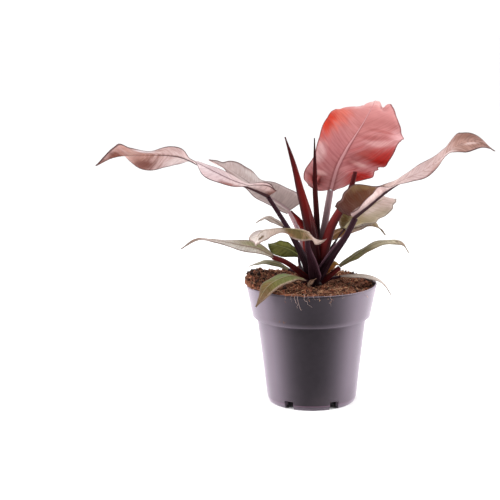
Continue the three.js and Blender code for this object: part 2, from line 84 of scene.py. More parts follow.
# Soil in millimetres: its level, its gap to the wall, and the rings and spokes of its mesh
SOIL_LEVEL = 107.5
SOIL_GAP = 0.3
SOIL_RINGS = 70
SOIL_SPOKES = 240
LEFT_HEAP_X = -44

# Crown in millimetres, its outline as radius and height
CROWN_X, CROWN_Y = 2, -4
CROWN_OUTLINE = [(7.5, 88), (9.5, 106), (9.6, 111), (8.6, 117), (6.6, 125), (4.6, 131), (1.5, 132.6)]

# Stems: steps up a stalk, a rolled leaf and the crown, and faces round them
STALK_STEPS, SPEAR_STEPS, STEM_SIDES = 72, 96, 56
CROWN_STEPS, CROWN_SIDES = 40, 48

# Blades: the share of a lift that is a bend, how far the rows lean to the tip from base to tip by
# half-widths, how far up a lobe reaches, and how closely the columns crowd at the rib. Then, in
# millimetres, a rib's half-width at its tip and what its foot adds to that, the half-width of a blade
# that has its whole rib, and half the thickness of a margin
BEND = 0.25
ROW_LEAN = [-0.4, 0.1, 0.32, 0.45, 0.52, 0.55]
LOBE_REACH = [1, 0, 0, 0, 0, 0]
CROWDING = 1.35
RIB_TIP, RIB_FOOT = 0.3, 1.7
BROAD_HALF = 14
MARGIN_HALF = 0.14

# Studio: where the camera stands, from the lines of the pot and its perspective, then the floor, the
# light round the plant, and the lamps with their place, width and height in metres and their watts
CAMERA_PLACE = (-0.056, -1.062, 0.338)
CAMERA_PITCH_DEG = 10.5
CAMERA_ROLL_DEG = -0.7
CAMERA_LENS_MM, CAMERA_SENSOR_MM = 85, 36
FLOOR_REACH = 60
LAMP_TARGET = (0, 0, 0.15)
LAMPS = [
    ("top", (-0.35, -0.55, 1.5), 0.7, 0.7, 7),
    ("left_strip", (-1.1, -0.2, 0.5), 1.1, 1.0, 20),
    ("right_strip", (1.1, -0.2, 0.5), 1.1, 1.0, 20),
]
ROOM_STRENGTH = 1.3
STUDIO_GAIN = 1.5

# Leaves in millimetres and degrees. The azimuth is where a leaf grows to, and the stalk and the spine
# are the points of its lines. Left and right are half-width and lift of the blade's halves at even
# steps from base to tip. An edge changes one half: its side, place along, reach, change of half-width
# and of lift. A dent is a place along and across, a reach along and across, and a depth. The veins of
# one half are counted, a pleat is their height, a ruffle the height of the margin's waves, and a wing
# that of the stalk's sheath edges. Lobes and sweep are how far the base and the veins of each half lie
# towards the tip by half-widths, and a bulge is how far the middle of the base swells back.
LEAVES = {
    "upright": {
        "azimuth": 78, "lobes": (-0.12, -0.12), "skin": "red", "rows": 150, "columns": 84,
        "stalk": [(5, 4, 121), (8, 8, 140), (12.5, 9, 160), (15.7, 10.5, 178), (18.5, 12, 193.8)],
        "stalk_width": (5, 2.8), "stalk_skin": "mauve_stalk",
        "spine": [(19, 12, 194.5), (25, 15, 214), (34.2, 19, 231), (47, 27, 249), (58.8, 42, 266),
            (64, 62, 271), (66, 82, 266), (69, 102, 253)],
        "left": [(26, 35), (30, 14), (34, 4), (36, -4), (35.5, -5), (31, -16), (19, -20), (9, -10),
            (0.8, 0)],
        "right": [(9, 15), (29, 12), (36, -10), (37, 8), (28, -22), (22, -10), (17, -25), (9, -10),
            (0.8, 0)],
        "veins": 19, "pleat": 0.15, "ruffle": 0.5, "bulge": 0.16, "sweep": (0.3, 1.1),
        "edges": [(-1, 0.14, 0.05, -4), (-1, 0.22, 0.04, -2), (-1, 0.45, 0.025, -1.5),
            (-1, 0.5, 0.05, 0, -4), (-1, 0.68, 0.07, 1.5, 5), (-1, 0.02, 0.03, 1), (1, 0, 0.04, -5),
            (1, 0.07, 0.03, -3), (1, 0.19, 0.025, -3.5), (1, 0.222, 0.008, -4), (1, 0.25, 0.012, 0.5),
            (1, 0.3, 0.035, 3.5), (1, 0.405, 0.022, 3.4), (1, 0.36, 0.03, 1.5), (1, 0.45, 0.04, 2.5),
            (1, 0.61, 0.04, -2, -12), (1, 0.7, 0.05, 0, 10), (-1, 0.06, 0.05, 3), (1, 0.2, 0.012, -1.5),
            (1, 0.64, 0.035, -2.5), (-1, 0.19, 0.13, -3), (1, 0.19, 0.13, 3), (-1, 0.6, 0.12, 2.8),
            (1, 0.6, 0.12, -2.8)],
        "dents": [(0.045, -0.42, 0.022, 0.13, -3.5), (0.085, -0.5, 0.02, 0.2, 2),
            (0.03, -0.75, 0.03, 0.15, 2), (0.225, 0.4, 0.012, 0.35, -1.6), (0.265, 0.6, 0.014, 0.4, 1.8),
            (0.33, 0.55, 0.016, 0.4, -1.3), (0.38, 0.7, 0.016, 0.35, 1.6), (0.44, 0.6, 0.02, 0.4, -1),
            (0.12, 0.5, 0.018, 0.3, 1.8), (0.165, 0.55, 0.016, 0.35, -1.6), (0.5, 0.55, 0.02, 0.4, 1),
            (0.62, 0.6, 0.02, 0.35, 1), (0.3, -0.7, 0.06, 0.4, 1.2), (0.15, -0.7, 0.05, 0.3, 1.5),
            (0.68, 0.54, 0.075, 0.18, -8), (0.6, -0.85, 0.07, 0.3, 1.8), (0.67, -0.42, 0.07, 0.16, -2),
            (0.76, 0.22, 0.07, 0.2, 1.4), (0.69, -0.26, 0.05, 0.14, 0.8)],
    },
    "left_near": {
        "azimuth": 187, "skin": "copper", "rows": 150, "columns": 56,
        "stalk": [(0, -7, 118), (-8, -10, 138), (-20, -14, 161.5), (-29.7, -18, 178), (-39, -22, 193)],
        "stalk_width": (5.2, 2.3),
        "spine": [(-39.4, -22, 193.8), (-54.4, -25, 202), (-69.4, -28, 208), (-85, -31, 216),
            (-99.7, -33, 224), (-114, -35, 231), (-129, -37, 233.5), (-144, -38, 234), (-159, -39, 234),
            (-174, -40, 232), (-188.7, -41, 225)],
        "left": [(9, 60), (15, 20), (18, -8), (20, -14), (20, -14), (19, 18), (19, 28), (18, 15), (13, 25),
            (8, 62), (0.8, 40)],
        "right": [(11, 60), (16, 8), (18, 12), (20, 8), (20, -4), (19, -30), (20, -42), (20, -52),
            (14, -30), (8, 25), (0.8, 20)],
        "veins": 20, "pleat": 0.2,
        "edges": [(-1, 0.45, 0.04, -3), (-1, 0.5, 0.03, 0, -12), (-1, 0.8, 0.03, 2.5), (-1, 0.9, 0.05, -2),
            (1, 0.44, 0.05, 0.5), (1, 0.5, 0.03, -1.5), (-1, 0, 0.015, 2), (1, 0.46, 0.07, 0, 16)],
    },
    "right_near": {
        "azimuth": -10, "lobes": (-0.4, 0.1), "bulge": 0.2, "skin": "rose", "rows": 150, "columns": 56,
        "stalk": [(5, -7, 117), (11, -12, 128), (18.7, -17, 140.5), (29, -21, 156), (37.6, -24, 173.4)],
        "stalk_width": (6.4, 3.1), "wing": 2.6,
        "spine": [(37.8, -24, 174), (50, -27, 185), (62, -30, 196), (74, -33, 205), (86, -35, 211),
            (97.5, -37, 217), (109, -39, 225.5), (121, -41, 236), (132, -43, 241.7), (143.5, -45, 241.3),
            (156, -46, 234)],
        "left": [(22, 84), (26, 78), (15, 55), (14, 12), (17, 12), (18, 16), (18, 13), (17, 17), (14, 26),
            (8, 17), (0.8, 0)],
        "right": [(14, 60), (14, 38), (15, 26), (16, 5), (17, -8), (18, -14), (18, -10), (17, 0), (14, -25),
            (7, -28), (0.8, 0)],
        "veins": 20, "pleat": 0.2,
        "edges": [(-1, 0, 0.03, 1), (-1, 0.05, 0.03, -4), (-1, 0.1, 0.025, -2.5), (1, 0.04, 0.07, -8),
            (-1, 0.13, 0.05, 1.5), (-1, 0.22, 0.05, -4), (-1, 0.31, 0.05, 3), (1, 0.25, 0.035, 0, 18),
            (-1, 0.65, 0.03, -3), (-1, 0.725, 0.02, 2), (1, 0.3, 0.05, -5.5), (1, 0.4, 0.05, -4),
            (1, 0.7, 0.03, -1.5)],
    },
    "left_far": {
        "azimuth": 157, "lobes": (-0.3, -0.3), "skin": "lilac", "rows": 90, "columns": 48,
        "stalk": [(0, -1, 120), (-6, 10, 142), (-12, 20, 158), (-18.6, 29.5, 171.5)],
        "stalk_width": (4.6, 2), "stalk_skin": "pale_stalk",
        "spine": [(-19, 30, 172.2), (-29, 35, 179), (-38.5, 39, 185.4), (-55, 46, 196), (-72, 54, 207),
            (-94, 62, 217.5)],
        "left": [(8, -10), (14, -12), (16.5, -12), (14, -5), (8, 10), (0.8, 30)],
        "right": [(18, 62), (21, 38), (20, 20), (16, 22), (8, 45), (0.8, 60)],
        "veins": 15, "pleat": 0.08,
        "edges": [(1, 0.4, 0.08, -4), (1, 0.2, 0.08, -1), (1, 0.84, 0.05, -2), (1, 0.6, 0.06, -1.5),
            (-1, 0.42, 0.1, -4)],
    },
    "right_far": {
        "azimuth": 35, "lobes": (-0.9, -0.9), "skin": "pale_olive", "rows": 80, "columns": 48,
        "stalk": [(6, -3, 118), (17, 9, 136), (25, 16, 148), (32, 21.5, 156)],
        "stalk_width": (3.6, 0.9),
        "spine": [(32.7, 22, 156.8), (44.6, 31, 166.6), (59.7, 41, 174.4), (73, 50, 179.6),
            (84.4, 58, 178.3)],
        "left": [(12, 30), (18, 35), (18, 35), (14, 30), (6, 20), (0.8, 0)],
        "right": [(12, -30), (19, -40), (19, -40), (14, -33), (6, -20), (0.8, 0)],
        "veins": 13, "pleat": 0.12,
        "edges": [(1, 0.22, 0.09, -6.5), (1, 0.4, 0.07, -3.5), (1, 0.62, 0.08, 2.5), (1, 0.8, 0.1, 4),
            (-1, 0, 0.12, -8), (1, 0.06, 0.12, -10), (-1, 0.13, 0.06, -2)],
    },
    "front": {
        "azimuth": 200, "lobes": (-1.4, -0.6), "bulge": 0.18, "wing": 2.2, "skin": "front_olive",
        "rows": 90, "columns": 40,
        "stalk": [(3, -12, 117), (-0.7, -26, 134.5), (-4.5, -35, 149), (-5, -40, 161)],
        "stalk_width": (6, 2.6),
        "spine": [(-4, -41.5, 162.5), (-12, -46, 166.5), (-23, -50, 168.6), (-34, -55, 169.6),
            (-44.5, -59, 168.2), (-49.5, -61, 163.5), (-51, -61, 156.5)],
        "left": [(11, 5), (13, -38), (12, -32), (11, -10), (10, -18), (8, -38), (0.8, 0)],
        "right": [(11, 10), (12, 0), (12, -8), (10, -12), (8.5, -8), (6.5, 25), (0.8, 30)],
        "veins": 13, "pleat": 0.2,
        "edges": [(-1, 0.42, 0.05, 2.5), (-1, -0.06, 0.11, 0, -38), (-1, -0.24, 0.05, 0, 14),
            (1, 0.42, 0.06, -1.5), (1, 0.55, 0.07, -4), (1, 0.69, 0.07, -4), (1, 0.87, 0.05, 3)],
    },
    "left_low": {
        "azimuth": 189, "skin": "olive", "rows": 90, "columns": 32,
        "stalk": [(0, -8, 112), (-14, -14, 126), (-25, -17, 134), (-35.5, -20, 138.5)],
        "stalk_width": (5, 2.6), "stalk_skin": "sheath",
        "spine": [(-36.3, -20, 139), (-49, -22, 146), (-62, -25, 149.5), (-75.5, -28, 153),
            (-88.7, -31, 156.3), (-102.7, -34, 158), (-117, -36, 149.5)],
        "left": [(4, -10), (10, -20), (11, -18), (10, -12), (8, -3), (5, -5), (0.8, 0)],
        "right": [(4, 30), (10, 30), (11, 20), (10, 8), (8, -6), (5, -5), (0.8, 0)],
        "veins": 14, "pleat": 0.15,
        "edges": [(-1, 0.2, 0.3, -1), (-1, 0.67, 0.08, -1), (1, 0.5, 0.1, -2.5), (1, 0.34, 0.08, -1.2)],
    },
    "right_low": {
        "azimuth": -5, "skin": "moss", "rows": 80, "columns": 32,
        "stalk": [(6, -6, 111), (14, -9, 117), (20, -10, 122), (25, -10, 126.3)],
        "stalk_width": (4.8, 2.4), "stalk_skin": "sheath",
        "spine": [(25.6, -10, 127.2), (35.5, -11, 133.8), (45.3, -12, 141.2), (57.8, -13, 147.7),
            (70.3, -14, 150.4), (81.2, -14, 148.5), (87.5, -15, 139.4)],
        "left": [(3, 30), (8, 20), (9, 5), (9, 5), (7, 0), (4, 0), (0.8, 0)],
        "right": [(3, -10), (8, -25), (9, -20), (9, -15), (7, -15), (4, -20), (0.8, 0)],
        "veins": 12, "pleat": 0.15,
        "edges": [(-1, 0.17, 0.08, -2.5), (-1, 0.67, 0.1, 1.2), (-1, 0.85, 0.06, 2), (1, 0.15, 0.08, -4),
            (1, 0.35, 0.08, -1.2), (1, 0.52, 0.12, -1.5)],
    },
    "back_right": {
        "azimuth": 28, "skin": "bronze", "rows": 70, "columns": 32,
        "stalk": [(5, 6, 117), (9, 11.5, 130), (13.5, 15.5, 141), (17, 16.8, 147)],
        "stalk_width": (3, 1.4),
        "spine": [(17.4, 17, 147.5), (29, 22, 154), (42.4, 27, 155.6), (58.5, 33.5, 157), (67, 36.5, 153.5),
            (72, 38, 147)],
        "left": [(4, 10), (9, 15), (8, 10), (4, 0), (0.8, 0)],
        "right": [(4, -20), (10, -40), (8, -35), (5, -20), (0.8, 0)],
        "veins": 12, "pleat": 0.15,
        "edges": [(-1, 0.25, 0.1, -3.5), (-1, 0.5, 0.1, -1.5), (-1, 0.78, 0.12, 3.5, 35),
            (1, 0.25, 0.12, -3.5), (1, 0.42, 0.12, -4), (1, 0.64, 0.14, -5)],
    },
    "back_left": {
        "azimuth": 152, "skin": "cream", "rows": 50, "columns": 24,
        "stalk": [(-3, 1, 120), (-11, 20, 141), (-18, 29, 151), (-24.2, 33.7, 157)],
        "stalk_width": (3, 1.3),
        "spine": [(-24.7, 34, 157.4), (-32, 38, 161.7), (-40.5, 42, 165), (-50, 46, 158.7)],
        "left": [(3, -10), (6, -10), (6, -10), (0.8, 0)],
        "right": [(3, 10), (6, 10), (6, 0), (0.8, 0)],
        "veins": 8, "pleat": 0.1,
        "edges": [(1, 0.72, 0.12, 3), (1, 0.33, 0.1, -2)],
    },
    "green": {
        "azimuth": 155, "skin": "bright_green", "rows": 60, "columns": 32,
        "stalk": [(-4, -1, 113), (-9, 6, 122), (-10.5, 11, 128), (-10.6, 13.7, 132.5)],
        "stalk_width": (2.8, 1.3),
        "spine": [(-10.8, 14, 133.3), (-18.8, 17, 137.6), (-29, 21, 140.3), (-39, 26, 142)],
        "left": [(4, -50), (9, -50), (10, -45), (7, -40), (0.8, 0)],
        "right": [(4, 40), (9, 35), (9, 35), (6, 30), (0.8, 0)],
        "veins": 9, "pleat": 0.15,
        "edges": [(1, 0, 0.1, -2.5), (1, 0.25, 0.12, -3.3), (1, 0.5, 0.1, -1), (-1, 0.1, 0.15, -1.5)],
    },
    "left_drooping": {
        "azimuth": 222, "skin": "drooping", "rows": 80, "columns": 32,
        "stalk": [(0, -10, 110.5), (-4, -17.5, 115), (-8, -21.5, 117.6)],
        "stalk_width": (3, 1.5),
        "spine": [(-8.6, -22, 118.1), (-19.7, -31, 122.9), (-31.6, -41, 121.5), (-42.4, -50, 115.5),
            (-51.4, -56, 101)],
        "left": [(4, -15), (9, -20), (10, -25), (7, -20), (0.8, 0)],
        "right": [(4, 10), (9, 5), (10, 0), (7, 0), (0.8, 0)],
        "veins": 12, "pleat": 0.15,
        "edges": [(1, 0.8, 0.12, -2.3), (-1, 0.5, 0.2, -2)],
    },
    "right_drooping": {
        "azimuth": 6, "skin": "cream", "rows": 70, "columns": 28,
        "stalk": [(8, -8, 111.5), (17, -8, 115.5), (26, -7.2, 117)],
        "stalk_width": (2.8, 1.4),
        "spine": [(26.8, -7, 117.3), (37, -6, 118.4), (48, -4, 117.6), (58.4, -2, 114.5), (67, 0, 108),
            (73.7, 2, 97)],
        "left": [(3, -5), (7, -12), (8, -15), (6, -15), (4, -10), (0.8, 0)],
        "right": [(3, -5), (7, -14), (8, -14), (7, -12), (4, -10), (0.8, 0)],
        "veins": 12, "pleat": 0.12,
    },
    "left_soil": {
        "azimuth": 165, "skin": "grey_moss", "rows": 50, "columns": 24,
        "stalk": [(-6, 0, 113), (-13, 9, 118.5), (-20, 15.5, 119.3)],
        "stalk_width": (2.6, 1.3),
        "spine": [(-20.8, 16, 119.6), (-31, 18, 124.5), (-43, 22, 126), (-57, 28, 120.5)],
        "left": [(3, -10), (6, -15), (6, -10), (0.8, 0)],
        "right": [(3, 10), (6, 10), (6, 0), (0.8, 0)],
        "veins": 9, "pleat": 0.12,
    },
}

# Dried scraps at the foot, made like small blades
SCRAPS = {
    "dry_bract": {
        "azimuth": 245, "skin": "dry", "rows": 30, "columns": 16,
        "spine": [(4, -14.5, 114), (2, -18, 116.5), (-1, -21.5, 116), (-4, -25, 112)],
        "left": [(1.5, 20), (3, 30), (3, 20), (0.8, 0)],
        "right": [(1.5, 20), (3.5, -10), (3, -20), (0.8, 0)],
        "veins": 7, "pleat": 0.25,
    },
    "dry_sheath": {
        "azimuth": 20, "skin": "amber", "rows": 30, "columns": 16,
        "spine": [(11.5, -1.5, 117), (17, 2.5, 124.5), (22, 5.5, 128), (28, 8, 123)],
        "left": [(2, 30), (3.6, 20), (3.6, 10), (0.8, 0)],
        "right": [(2, -40), (4, -45), (4, -40), (0.8, 0)],
        "veins": 7, "pleat": 0.25,
    },
}

# Pointed sheaths: line from the crown to the point, half-widths at even steps, where the seam faces and
# where the side faces that is painted brighter as lit, and the stretch of the length that is painted lit
SPEARS = {
    "spear_tall": {
        "radii": [7.5, 6.8, 5.7, 4.5, 3.3, 2.1, 0.6], "seam_deg": 160, "lit_side_deg": 222,
        "bright": (0.5, 0.66), "skin": "spear",
        "line": [(3, -5, 126), (-0.2, -6, 158), (-3.6, -6, 173), (-9.8, -6, 196), (-15, -6, 217),
            (-23.5, -6, 244.6)],
    },
    "spear_thin": {
        "radii": [3.4, 3.2, 2.6, 1.9, 0.5], "seam_deg": 200, "lit_side_deg": 190, "bright": (0.55, 0.7),
        "skin": "dark_spear",
        "line": [(5, 1.5, 124), (5.6, 5, 165.5), (3.9, 5.5, 195), (3.7, 6, 218), (3.5, 6, 242.3)],
    },
    "spear_right": {
        "radii": [5.2, 4.7, 4, 3.3, 1.9], "seam_deg": 240, "lit_side_deg": 120, "bright": (0.3, 0.6),
        "skin": "rose_spear",
        "line": [(7, -4, 122), (17.5, -2, 161), (24, -2, 173.5), (30, -3, 183.4), (35.2, -5, 196),
            (39.4, -6.5, 212.6)],
    },
    "sheath_left": {
        "radii": [3.6, 4, 4, 3, 0.8], "seam_deg": 200, "lit_side_deg": 160, "bright": (0.4, 0.8),
        "skin": "spear",
        "line": [(-3, -2, 124), (-5.5, 2, 157), (-11.8, 4, 168), (-18, 6, 176)],
    },
}


def srgb(red, green, blue):
    """A colour read as 0 to 255 on a screen, as the linear colour that nodes take"""
    shares = [c / 255 for c in (red, green, blue)]
    linear = [s / 12.92 if s <= 0.04045 else ((s + 0.055) / 1.055) ** 2.4 for s in shares]
    return (*linear, 1.0)


def seen(red, green, blue):
    """A tint as it looks under the studio light, which brightens what it falls on"""
    return (*(share / STUDIO_GAIN for share in srgb(red, green, blue)[:3]), 1.0)


# Lines and surfaces

def evenly(values, t):
    """Values set at even steps, smoothly joined, read at the shares t"""
    values = np.asarray(values, float)
    last = len(values) - 1
    place = np.clip(t, 0, 1) * last
    i = np.minimum(np.floor(place).astype(int), last - 1)
    f = place - i
    a, b, c, d = (values[np.clip(i + k, 0, last)] for k in (-1, 0, 1, 2))
    return b + 0.5 * f * (c - a + f * (2 * a - 5 * b + 4 * c - d + f * (3 * (b - c) + d - a)))


def smoothstep(low, high, x):
    s = np.clip((x - low) / (high - low), 0, 1)
    return s * s * (3 - 2 * s)


class Line:
    """A smooth line through given points in millimetres, read by share of its length"""

    SAMPLES = 1600

    def __init__(self, points):
        points = [np.array(p, float) for p in points]
        ends = [2 * points[0] - points[1], *points, 2 * points[-1] - points[-2]]
        u = np.linspace(0, 1, self.SAMPLES // (len(points) - 1), endpoint=False)[:, None]
        parts = []
        for p0, p1, p2, p3 in zip(ends, ends[1:], ends[2:], ends[3:]):
            d0, d1, d2 = (math.sqrt(np.linalg.norm(b - a)) for a, b in ((p0, p1), (p1, p2), (p2, p3)))
            start = ((p1 - p0) / d0 - (p2 - p0) / (d0 + d1) + (p2 - p1) / d1) * d1
            end = ((p2 - p1) / d1 - (p3 - p1) / (d1 + d2) + (p3 - p2) / d2) * d1
            parts.append(
                p1 + start * u + (3 * (p2 - p1) - 2 * start - end) * u**2
                + (2 * (p1 - p2) + start + end) * u**3
            )
        self.points = np.vstack([*parts, points[-1]])
        steps = np.linalg.norm(np.diff(self.points, axis=0), axis=1)
        self.places = np.concatenate([[0], np.cumsum(steps)])
        self.length = self.places[-1]

    def at(self, share):
        place = np.clip(share, 0, 1) * self.length
        return np.stack([np.interp(place, self.places, self.points[:, k]) for k in range(3)], -1)

    def tangent(self, share):
        reach = 0.4 / self.length
        low, high = np.clip(share - reach, 0, 1), np.clip(share + reach, 0, 1)
        ahead = self.at(high) - self.at(low)
        return ahead / np.linalg.norm(ahead, axis=-1, keepdims=True)


def directions(line, azimuth, share):
    """Tangent, side and face directions at shares of a line that grows at an azimuth"""
    tangent = line.tangent(share)
    a = math.radians(azimuth)
    aside = np.array([math.sin(a), -math.cos(a), 0.0])
    side = aside - tangent * (tangent @ aside)[..., None]
    side /= np.linalg.norm(side, axis=-1, keepdims=True)
    return tangent, side, np.cross(side, tangent)


def halves(leaf, which, t, v):
    """Half-width (0) or lift (1) of the half of the blade that each place is on"""
    left = evenly([pair[which] for pair in leaf["left"]], t)
    right = evenly([pair[which] for pair in leaf["right"]], t)
    value = np.where(v < 0, left, right)
    for side, place, reach, *change in leaf.get("edges", ()):
        added = (*change, 0)[which]
        value = value + added * (v * side > 0) * np.exp(-(((t - place) / reach) ** 2))
    return np.maximum(value, 0.5) if which == 0 else value


def blade_places(leaf, line, t, v):
    """Middle surface of a blade at share t along it and v across it, from -1 to 1"""
    out = np.abs(v)
    half = halves(leaf, 0, t, v)
    base = smoothstep(0, 5.0 / line.length, t)
    half = half * (0.86 + 0.14 * base)
    left_lobe, right_lobe = leaf.get("lobes", (ROW_LEAN[0], ROW_LEAN[0]))
    lobe = np.where(v < 0, left_lobe, right_lobe) - ROW_LEAN[0]
    lean = (evenly(ROW_LEAN, t) + lobe * evenly(LOBE_REACH, t)) * half * out**1.6
    bulge = leaf.get("bulge", 0.05) * half * np.sin(math.pi * out) * np.maximum(0, 1 - t / 0.12)
    along = t + (lean - bulge) / line.length
    share = np.clip(along, 0, 1)
    tangent, side, face = directions(line, leaf["azimuth"], share)
    lift = np.radians(halves(leaf, 1, along, v))
    bend = lift * BEND * out
    angle = lift * (1 - BEND) + bend
    reach = half * v * np.sinc(bend / math.pi)
    over = ((along - share) * line.length)[..., None]
    return (
        line.at(share) + tangent * over + side * (reach * np.cos(angle))[..., None]
        + face * (np.abs(reach) * np.sin(angle))[..., None]
    ), half


# Meshes

def placed(name, data):
    """A new object of the scene, at the origin"""
    made = bpy.data.objects.new(name, data)
    bpy.context.scene.collection.objects.link(made)
    return made


def piece_of(name, points, faces, skins, face_skins=None, maps=None, tones=None, solids=()):
    """A smooth mesh in millimetres as a piece that rides on the plant's body"""
    mesh = bpy.data.meshes.new(name)
    mesh.from_pydata((np.asarray(points) * MM).tolist(), [], faces)
    for skin in skins:
        mesh.materials.append(skin)
    if face_skins is not None:
        mesh.polygons.foreach_set("material_index", np.asarray(face_skins, np.int32))
    corners = np.zeros(len(mesh.loops), np.int32)
    mesh.loops.foreach_get("vertex_index", corners)
    for label, places in (maps or {}).items():
        layer = mesh.uv_layers.new(name=label)
        layer.data.foreach_set("uv", np.asarray(places, np.float32)[corners].ravel())
    if tones is not None:
        layer = mesh.color_attributes.new("tone", "FLOAT_COLOR", "POINT")
        tones = np.asarray(tones, np.float32)
        rgba = np.stack([tones, tones, tones, np.ones_like(tones)], -1)
        layer.data.foreach_set("color", rgba.ravel())
    mesh.polygons.foreach_set("use_smooth", np.ones(len(mesh.polygons), bool))
    mesh.update()
    piece = placed(name, mesh)
    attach(piece, BODY)
    if solids:
        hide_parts(*solids)


def blade_mesh(leaf, thickness):
    """Both faces of a fine blade, with its rib, pleats and thin margin, and its maps"""
    line = Line(leaf["spine"])
    rows, columns = leaf["rows"], leaf["columns"]
    even = np.linspace(-1, 1, columns + 1)
    across = np.sign(even) * np.abs(even) ** CROWDING
    t, v = np.meshgrid(np.linspace(0, 1, rows + 1), across, indexing="ij")
    middle, half = blade_places(leaf, line, t, v)
    out = np.abs(v)
    fade = smoothstep(0.0, 0.08, t) * smoothstep(1.0, 0.9, t)
    side = np.sign(v) * 0.35
    left_sweep, right_sweep = leaf.get("sweep", (0.15, 0.15))
    grain = t - np.where(v < 0, left_sweep, right_sweep) * half * out / line.length
    wave = np.cos(2 * math.pi * (leaf["veins"] * grain + side + 0.15 * np.sin(9 * grain + 4 * side)))
    wave *= 0.65 + 0.35 * np.sin(2 * math.pi * (2.3 * grain + 1.7 * side))
    relief = leaf["pleat"] * wave * fade * smoothstep(0.02, 0.3, out) * smoothstep(1.0, 0.75, out)
    ruffle = leaf.get("ruffle", 0.8) * np.sin(2 * math.pi * (3.3 * t + 0.3 * np.sign(v))) * fade * out**4
    relief = relief + ruffle * np.minimum(half / 20, 1)
    for place, aside, reach, width, depth in leaf.get("dents", ()):
        relief = relief + depth * np.exp(-(((t - place) / reach) ** 2) - ((v - aside) / width) ** 2)
    normal = surface_normals(middle)
    middle = middle + normal * relief[..., None]
    normal = surface_normals(middle)
    reach = half * out
    rib = (RIB_FOOT * (1 - t) ** 0.8 + RIB_TIP) * min(1, np.max(half) / BROAD_HALF)
    below = rib * np.exp(-((reach / (rib * 0.95)) ** 2))
    above = 0.35 * rib * np.exp(-((reach / (rib * 0.8)) ** 2))
    thick = thickness / 2 + (MARGIN_HALF - thickness / 2) * smoothstep(0.8, 1, out)
    upper = middle + normal * (thick + above)[..., None]
    lower = middle - normal * (thick + below)[..., None]
    faces, kinds = sheet_faces(rows, columns)
    points = np.concatenate([upper.reshape(-1, 3), lower.reshape(-1, 3)])
    edge_gap = half * (1 - out)
    pairs = {"leaf": (t, (v + 1) / 2), "reach": (reach / 10, edge_gap / 10), "grain": (grain, (v + 1) / 2)}
    maps = {label: np.tile(np.stack(pair, -1).reshape(-1, 2), (2, 1)) for label, pair in pairs.items()}
    return points, faces, kinds, maps


def surface_normals(grid):
    """Unit normals of a grid of points, pointing to the upper face"""
    along = np.gradient(grid, axis=0)
    aside = np.gradient(grid, axis=1)
    normal = np.cross(aside, along)
    return normal / np.maximum(np.linalg.norm(normal, axis=-1, keepdims=True), 1e-9)


def sheet_faces(rows, columns):
    """Quads of an upper grid, a lower grid and the rim that joins them, and which face each is on"""
    row = columns + 1
    count = (rows + 1) * row
    i, j = np.meshgrid(np.arange(rows), np.arange(columns), indexing="ij")
    a = (i * row + j).ravel()
    upper = np.stack([a, a + 1, a + row + 1, a + row], -1)
    lower = upper[:, ::-1] + count
    left = np.arange(rows) * row
    right = left + columns
    base = np.arange(columns)
    tip = rows * row + base
    rim = np.concatenate([
        np.stack([left, left + row, left + row + count, left + count], -1),
        np.stack([right, right + count, right + row + count, right + row], -1),
        np.stack([base, base + count, base + 1 + count, base + 1], -1),
        np.stack([tip, tip + 1, tip + 1 + count, tip + count], -1),
    ])
    kinds = [0] * len(upper) + [1] * len(lower) + [0] * len(rim)
    return np.concatenate([upper, lower, rim]).tolist(), kinds


def tube_mesh(centres, rings):
    """Closed tube from rings of points, with its caps, and its map of length and turn"""
    count, sides = rings.shape[:2]
    i, j = np.meshgrid(np.arange(count - 1), np.arange(sides), indexing="ij")
    k = (j + 1) % sides
    quads = np.stack([i * sides + j, i * sides + k, (i + 1) * sides + k, (i + 1) * sides + j], -1)
    faces = quads.reshape(-1, 4).tolist()
    points = np.concatenate([rings.reshape(-1, 3), centres[[0, -1]]])
    first, last = count * sides, count * sides + 1
    for j in range(sides):
        k = (j + 1) % sides
        faces.append([first, k, j])
        faces.append([last, (count - 1) * sides + j, (count - 1) * sides + k])
    share = np.repeat(np.linspace(0, 1, count), sides)
    turn = np.tile(np.abs(np.linspace(-1, 1, sides, endpoint=False)), count)
    tube_map = np.concatenate([np.stack([share, turn], -1), [[0, 0.5], [1, 0.5]]])
    return points, faces, {"tube": tube_map}


def stem_rings(points, radii, azimuth, flat, steps):
    """Centres, across and up directions and half-widths of the rings of a tapering stem"""
    line = Line(points)
    share = np.linspace(0, 1, steps + 1)
    _, side, face = directions(line, azimuth, share)
    radius = evenly(radii, share)[:, None]
    a = np.linspace(0, 2 * math.pi, STEM_SIDES, endpoint=False)[None, :]
    high = np.sin(a) * np.where(np.sin(a) > 0, flat, 1) * radius
    wide = -np.cos(a) * radius
    return line.at(share), side[:, None], face[:, None], share[:, None], a, wide, high


def stalk_rings(leaf):
    """Rings of a leaf stalk with its channel and thin sheath wings, and how pale each place is"""
    foot, top = leaf["stalk_width"]
    radii = [foot, foot * 0.8, (foot + top) * 0.42, top * 1.1, top]
    centres, side, face, share, a, wide, high = stem_rings(
        leaf["stalk"], radii, leaf["azimuth"], 0.7, STALK_STEPS,
    )
    high = high - 0.3 * np.exp(-(((a - math.pi / 2) / 0.4) ** 2)) * smoothstep(1.0, 0.75, share)
    tall = leaf.get("wing", 0.4) * smoothstep(0.9, 0.4, share) * smoothstep(0.0, 0.12, share)
    pale = 0
    for turn in (0.85, -0.85):
        ridge = np.exp(-(((a - math.pi / 2 - turn) / 0.13) ** 2))
        wide = wide - np.cos(a) * tall * ridge
        high = high + np.sin(a) * tall * ridge
        pale = pale + ridge * np.minimum(1, tall)
    return centres, centres[:, None] + side * wide[..., None] + face * high[..., None], pale


